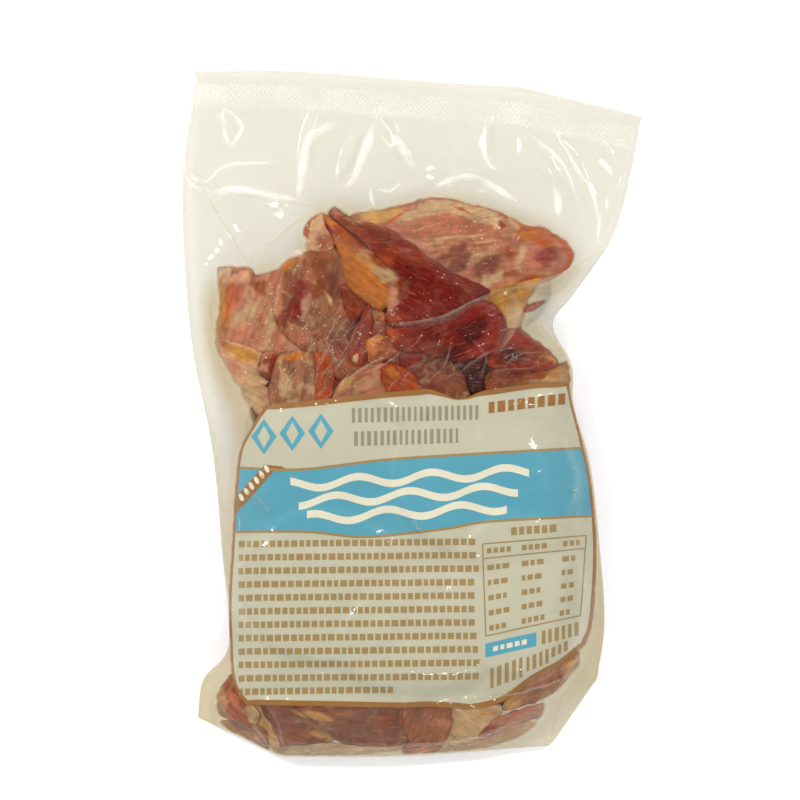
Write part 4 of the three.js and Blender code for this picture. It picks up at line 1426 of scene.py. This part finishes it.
class Ink:
    """Shapes of one ink, collected into one mesh under the film."""

    def __init__(self, below):
        self.below = below
        self.points = []
        self.faces = []
        self.count = 0

    def patch(self, places):
        """Adds a grid of places, laid under the film."""
        x, y = under_eye(places.reshape(-1, 2)).T.reshape(2, *places.shape[:2])
        self.points.append(listed(x, y, sample(front_film, x, y) - self.below))
        self.faces.append(sheet_faces(x.shape, self.count))
        self.count += x.size

    def between(self, foot, top):
        """Fills the strip between two lines that run the same way."""
        count = max(2, int(np.hypot(*(top[-1] - top[0])) / PRINT_STEP) + 2)
        rows = max(2, int(np.hypot(*(top - foot).T).max() / PRINT_STEP) + 2)
        v = np.linspace(0, 1, rows)[:, None, None]
        self.patch(spaced(foot, count)[None] * (1 - v) + spaced(top, count)[None] * v)

    def stroke(self, line, half):
        """A line across the label, with half its height."""
        self.between(line - [0, half], line + [0, half])

    def bar(self, x, y, length, height, slope=0.0):
        """A bar with its left end's middle at x, y."""
        self.stroke(np.array([[0, 0], [length, length * slope]]) + [x, y], height / 2)

    def blob(self, x, y, half_length, half_width, turn=0.0):
        """A filled oval."""
        a, b = rounded(*np.meshgrid(np.linspace(-1, 1, 12), np.linspace(-1, 1, 12)))
        a, b = turned(a * half_length, b * half_width, -turn)
        self.patch(np.dstack([x + a, y + b]))

    def lozenge(self, x, y, half_width, half_height, stroke):
        """The outline of an upright lozenge."""
        angle = np.linspace(0, 2 * math.pi, 49)[None, :]
        off = np.array([0, stroke / 2, stroke])[:, None]
        across, up = (side * np.abs(side) for side in (np.cos(angle), np.sin(angle)))
        self.patch(np.dstack([x + (half_width - off) * across, y + (half_height - off) * up]))

    def piece(self, name, material):
        """All the ink's shapes as one piece of the scene."""
        made = new_mesh(name, np.vstack(self.points), np.vstack(self.faces))
        return add_piece(made, material, "print")


def words(ink, start, end, height, lengths, seed, gap):
    """A row of bars that stand for words, from one place to another."""
    rng = np.random.RandomState(seed)
    start, end = np.array(start, float), np.array(end, float)
    total = end[0] - start[0]
    slope = (end[1] - start[1]) / total
    x = start[0]
    while x < end[0] - lengths[0]:
        length = min(rng.uniform(*lengths), end[0] - x)
        ink.bar(x, start[1] + (x - start[0]) * slope, length, height, slope)
        x += length + gap


def label_ground():
    """The label's cream ground, over its whole outline."""
    ground = Ink(GROUND_DEPTH)
    foot, top = smooth_line(LABEL_FOOT, 170), smooth_line(LABEL_TOP, 170)
    ground.patch(coons(foot, top, smooth_line(LABEL_LEFT, 145), smooth_line(LABEL_RIGHT, 145)))
    return ground


def label_border(ink):
    """The line round the label."""
    loop, widths = label_loop()
    onward = np.roll(loop, -1, axis=0) - np.roll(loop, 1, axis=0)
    inward = np.stack([-onward[:, 1], onward[:, 0]], axis=1) / np.hypot(*onward.T)[:, None]
    inward *= widths[:, None]
    rings = [loop + share * inward for share in (1, 0.5, 0)]
    ink.patch(np.array([np.vstack([ring, ring[:1]]) for ring in rings]))


def on_side(side, y):
    """The places on one of the label's sides at the given heights."""
    return np.stack([np.interp(y, side[:, 1], side[:, 0]), y], axis=-1)


def between_sides(line):
    """A line across the label from its left side to its right side, through the places given."""
    start, end = on_side(LEFT_SIDE, line[0][1]), on_side(RIGHT_SIDE, line[-1][1])
    return smooth_line([start, *line[1:-1], end], 150)


def label_band(blue, small):
    """The band across the label, with a fine line along each edge. Its ends follow the label."""
    foot, top = between_sides(BAND_FOOT), between_sides(BAND_TOP)
    left = on_side(LEFT_SIDE, np.linspace(foot[0][1], top[0][1], 30))
    right = on_side(RIGHT_SIDE, np.linspace(foot[-1][1], top[-1][1], 30))
    blue.patch(coons(foot, top, left, right))
    for line in (top, foot):
        small.stroke(line, 0.45)


def ribbon(brown, white):
    """The small slanted ribbon over the band's left end, with a row of marks on it."""
    low = np.array([[-63.9, -36.5], [-49, -19.6]])
    high = np.array([[-63.2, -29.5], [-53.5, -18.6]])
    brown.between(low, high)
    brown.between(np.array([[-53.5, -20.2], [-45, -20.2]]), np.array([[-53.5, -18.2], [-47, -18.9]]))
    for share in np.linspace(0.16, 0.94, 6):
        foot, top = (line[0] + share * (line[1] - line[0]) for line in (low, high))
        white.blob(*(foot + 0.62 * (top - foot)), 1.5, 0.75, 118)


def waves(ink):
    """Three wavy lines along the band."""
    for row in range(3):
        x = np.linspace(-44 + 3 * row, 42 - 4 * row, 130)
        y = -23 - 6.2 * row + 0.06 * x + 1.6 * np.sin(x / 4.2 + 1.9 * row)
        ink.stroke(np.stack([x, y], axis=1), 1.35)


SMALL_ROWS = 12
SMALL_PITCH = 4.84
LAST_ROW_SHORT = 29  # by how much the last row of small print is shorter


def small_print(ink):
    """The rows of small print under the band."""
    for row in range(SMALL_ROWS):
        y = -46.9 - SMALL_PITCH * row
        end = 24.2 - LAST_ROW_SHORT * (row == SMALL_ROWS - 1)
        words(ink, (-62.6, y), (end, y + 0.9), 2.3, (1.5, 2.5), 10 + row, 0.75)


def side_words(ink):
    """The words right of the small print, under the table."""
    words(ink, (46.6, -80.6), (60.4, -77), 4.8, (1.1, 1.7), 41, 1.1)
    words(ink, (28, -95.4), (40, -91), 7.2, (1.0, 1.6), 42, 1.2)
    words(ink, (41, -90.2), (49, -87), 5.0, (1.0, 1.6), 43, 1.1)
    words(ink, (50, -86), (56.5, -83), 3.4, (1.0, 1.5), 44, 1.0)


def table(ink):
    """A small table: a heading, a frame, a head line and five rows in three columns."""
    left, right = np.array([[25.2, -46.8], [26.4, -80]]), np.array([[62.6, -43.8], [60.4, -72.5]])
    words(ink, (35.5, -42.3), (53, -41), 2.8, (1.6, 2.4), 50, 0.9)

    def across(share):
        return np.array([side[0] + (side[1] - side[0]) * share for side in (left, right)])

    for share in (0, 0.16, 1):
        ink.stroke(across(share), 0.22)
    for side in (left, right):
        ink.between(side[::-1] + [0.22, 0], side[::-1] - [0.22, 0])
    for row in range(6):
        line = across(0.08 + 0.84 * row / 5 * 0.98 + (0.02 if row else 0))
        step = line[1] - line[0]
        for start, end in ((0.04, 0.27), (0.38, 0.62), (0.78, 0.94)):
            words(ink, line[0] + step * start, line[0] + step * end, 1.9, (1.2, 2.6), 60 + row, 0.8)


def print_label():
    """The whole label: its ground, and what is printed on it in five inks."""
    ground = label_ground()
    brown, small, grey = (Ink(INK_DEPTH) for _ in range(3))
    blue, white = Ink(INK_DEPTH + 0.03), Ink(INK_DEPTH - 0.02)
    label_border(brown)
    label_band(blue, small)
    ribbon(brown, white)
    waves(white)
    for x, y in ((-53.5, -8.2), (-43.3, -7), (-33, -6.2)):
        blue.lozenge(x, y, 4.6, 6.4, 2.3)
    words(grey, (-21.8, -0.6), (24.5, 0.6), 5.2, (0.9, 1.3), 3, 1.15)
    words(grey, (-21, -9.0), (17, -7.8), 5.2, (0.9, 1.3), 4, 1.15)
    words(brown, (27.4, 2.2), (56, 5.6), 4.0, (1.9, 2.9), 5, 1.1)
    small_print(small)
    table(small)
    blue.bar(26.2, -85.2, 18.4, 5, 0.22)
    words(white, (29, -84.6), (43, -81.6), 1.8, (1.4, 2.4), 40, 0.8)
    side_words(small)
    ground.piece("label-ground", ink_material("label-ground", srgb(193, 193, 181)))
    brown.piece("label-brown", ink_material("label-brown", srgb(152, 108, 60)))
    small.piece("label-small-print", ink_material("label-small-print", srgb(160, 136, 94)))
    blue.piece("label-blue", ink_material("label-blue", srgb(88, 164, 196)))
    white.piece("label-white", ink_material("label-white", srgb(224, 224, 214)))
    grey.piece("label-grey", ink_material("label-grey", srgb(146, 144, 130)))


# ---- Build: pieces ----

meat = meat_material()
for piece in front_offcuts:
    offcut_mesh(piece, 1, meat)
for piece in back_offcuts:
    offcut_mesh(piece, -1, meat)
core_mesh(meat)
film = film_material("clear-film", 0.8, 0.15)
film_sheet("film-front", front_film, FRONT_COLUMNS, FRONT_ROWS, False, film)
film_sheet("film-back", back_film, BACK_COLUMNS, BACK_ROWS, True, film)
# The pleats, fine creases and seal are drawn in near-white milk that stands in for their highlights:
# painted highlight.
highlight_film = film_material("pinched-film-painted-highlight", 0.85, 0.1, WHITE, (0.95, 0.95, 0.92, 1))
pleats_mesh("open-end-pleats", OPEN_END_PLEATS, highlight_film, 0.95, 0.0, crest_painted_highlight)
pleats_mesh("meat-pleats", MEAT_PLEATS, highlight_film, 0.42, 0.7, one_side_painted_highlight)
pleats_mesh("fine-creases", gathers(), highlight_film, 0.3, 0.7, one_side_painted_highlight)
seal_band(highlight_film)
print_label()

# ---- Stage ----

FRAME_WIDTH = 288  # mm that the camera sees from side to side, at the height of the seams
SENSOR = 36  # the camera's, in mm
WORLD_LIGHT = 0.75
OVERHEAD = 0.15  # share of the world's light that comes from straight above, where the camera is


def in_scene(name, data):
    """A new object in the scene."""
    made = bpy.data.objects.new(name, data)
    bpy.context.scene.collection.objects.link(made)
    return made


def floor_material():
    """A white table that glows a little, so that it is as bright as a photo's background."""
    material, output = new_material("white-table")
    tree = material.node_tree
    surface = node(tree, "BsdfPrincipled", {
        "Base Color": ranged(tree, cloudy(tree, here(tree), 6.0), 0.8, 0.83),
        "Roughness": 0.6,
        "Emission Color": WHITE,
        "Emission Strength": 0.33,
    })
    tree.links.new(surface.outputs["BSDF"], output.inputs["Surface"])
    return material


def add_floor():
    """The table top, just under the bag."""
    mesh = bpy.data.meshes.new("table")
    bm = bmesh.new()
    bmesh.ops.create_grid(bm, x_segments=2, y_segments=2, size=3)
    bm.to_mesh(mesh)
    bm.free()
    table_top = in_scene("table", mesh)
    table_top.location.z = -0.0002
    mesh.materials.append(floor_material())


def add_light(name, place, size, power):
    """A rectangular lamp that points at the bag. Its place and size are in metres."""
    light = bpy.data.lights.new(name, "AREA")
    light.shape = "RECTANGLE"
    light.size, light.size_y = size
    light.energy = power
    lamp = in_scene(name, light)
    lamp.location = place
    lamp.rotation_euler = (-Vector(place)).to_track_quat("-Z", "Y").to_euler()


def add_camera():
    """The camera, straight above its place over the bag."""
    camera = bpy.data.cameras.new("camera")
    camera.lens = SENSOR * (EYE_LEVEL - SEAM_LEVEL) / FRAME_WIDTH
    camera.sensor_width = SENSOR
    camera.clip_start, camera.clip_end = 0.01, 20
    eye = in_scene("camera", camera)
    eye.location = Vector((*EYE_PLACE, EYE_LEVEL)) * MM
    bpy.context.scene.camera = eye


def add_world():
    """A bright room, darker straight above so that flat film does not mirror a white ceiling."""
    world = bpy.data.worlds.new("studio")
    bpy.context.scene.world = world
    world.use_nodes = True
    tree = world.node_tree
    height = node(tree, "SeparateXYZ", {0: node(tree, "TexCoord").outputs["Generated"]})
    light = node(tree, "MapRange", {
        "Value": height.outputs["Z"], "From Min": 0.75, "From Max": 0.97,
        "To Min": WORLD_LIGHT, "To Max": OVERHEAD * WORLD_LIGHT,
    }, interpolation_type="SMOOTHSTEP")
    background = tree.nodes["Background"]
    background.inputs["Color"].default_value = WHITE
    tree.links.new(light.outputs["Result"], background.inputs["Strength"])
    bpy.context.scene.view_settings.view_transform = "Standard"


add_world()
add_floor()
add_light("window-left", (-0.75, 0.45, 1.0), (0.1, 0.32), 8)
add_light("window-right", (0.7, 0.6, 1.1), (0.1, 0.26), 6)
add_light("lamp-front", (0.2, -1.1, 1.2), (0.24, 0.08), 4)
add_camera()
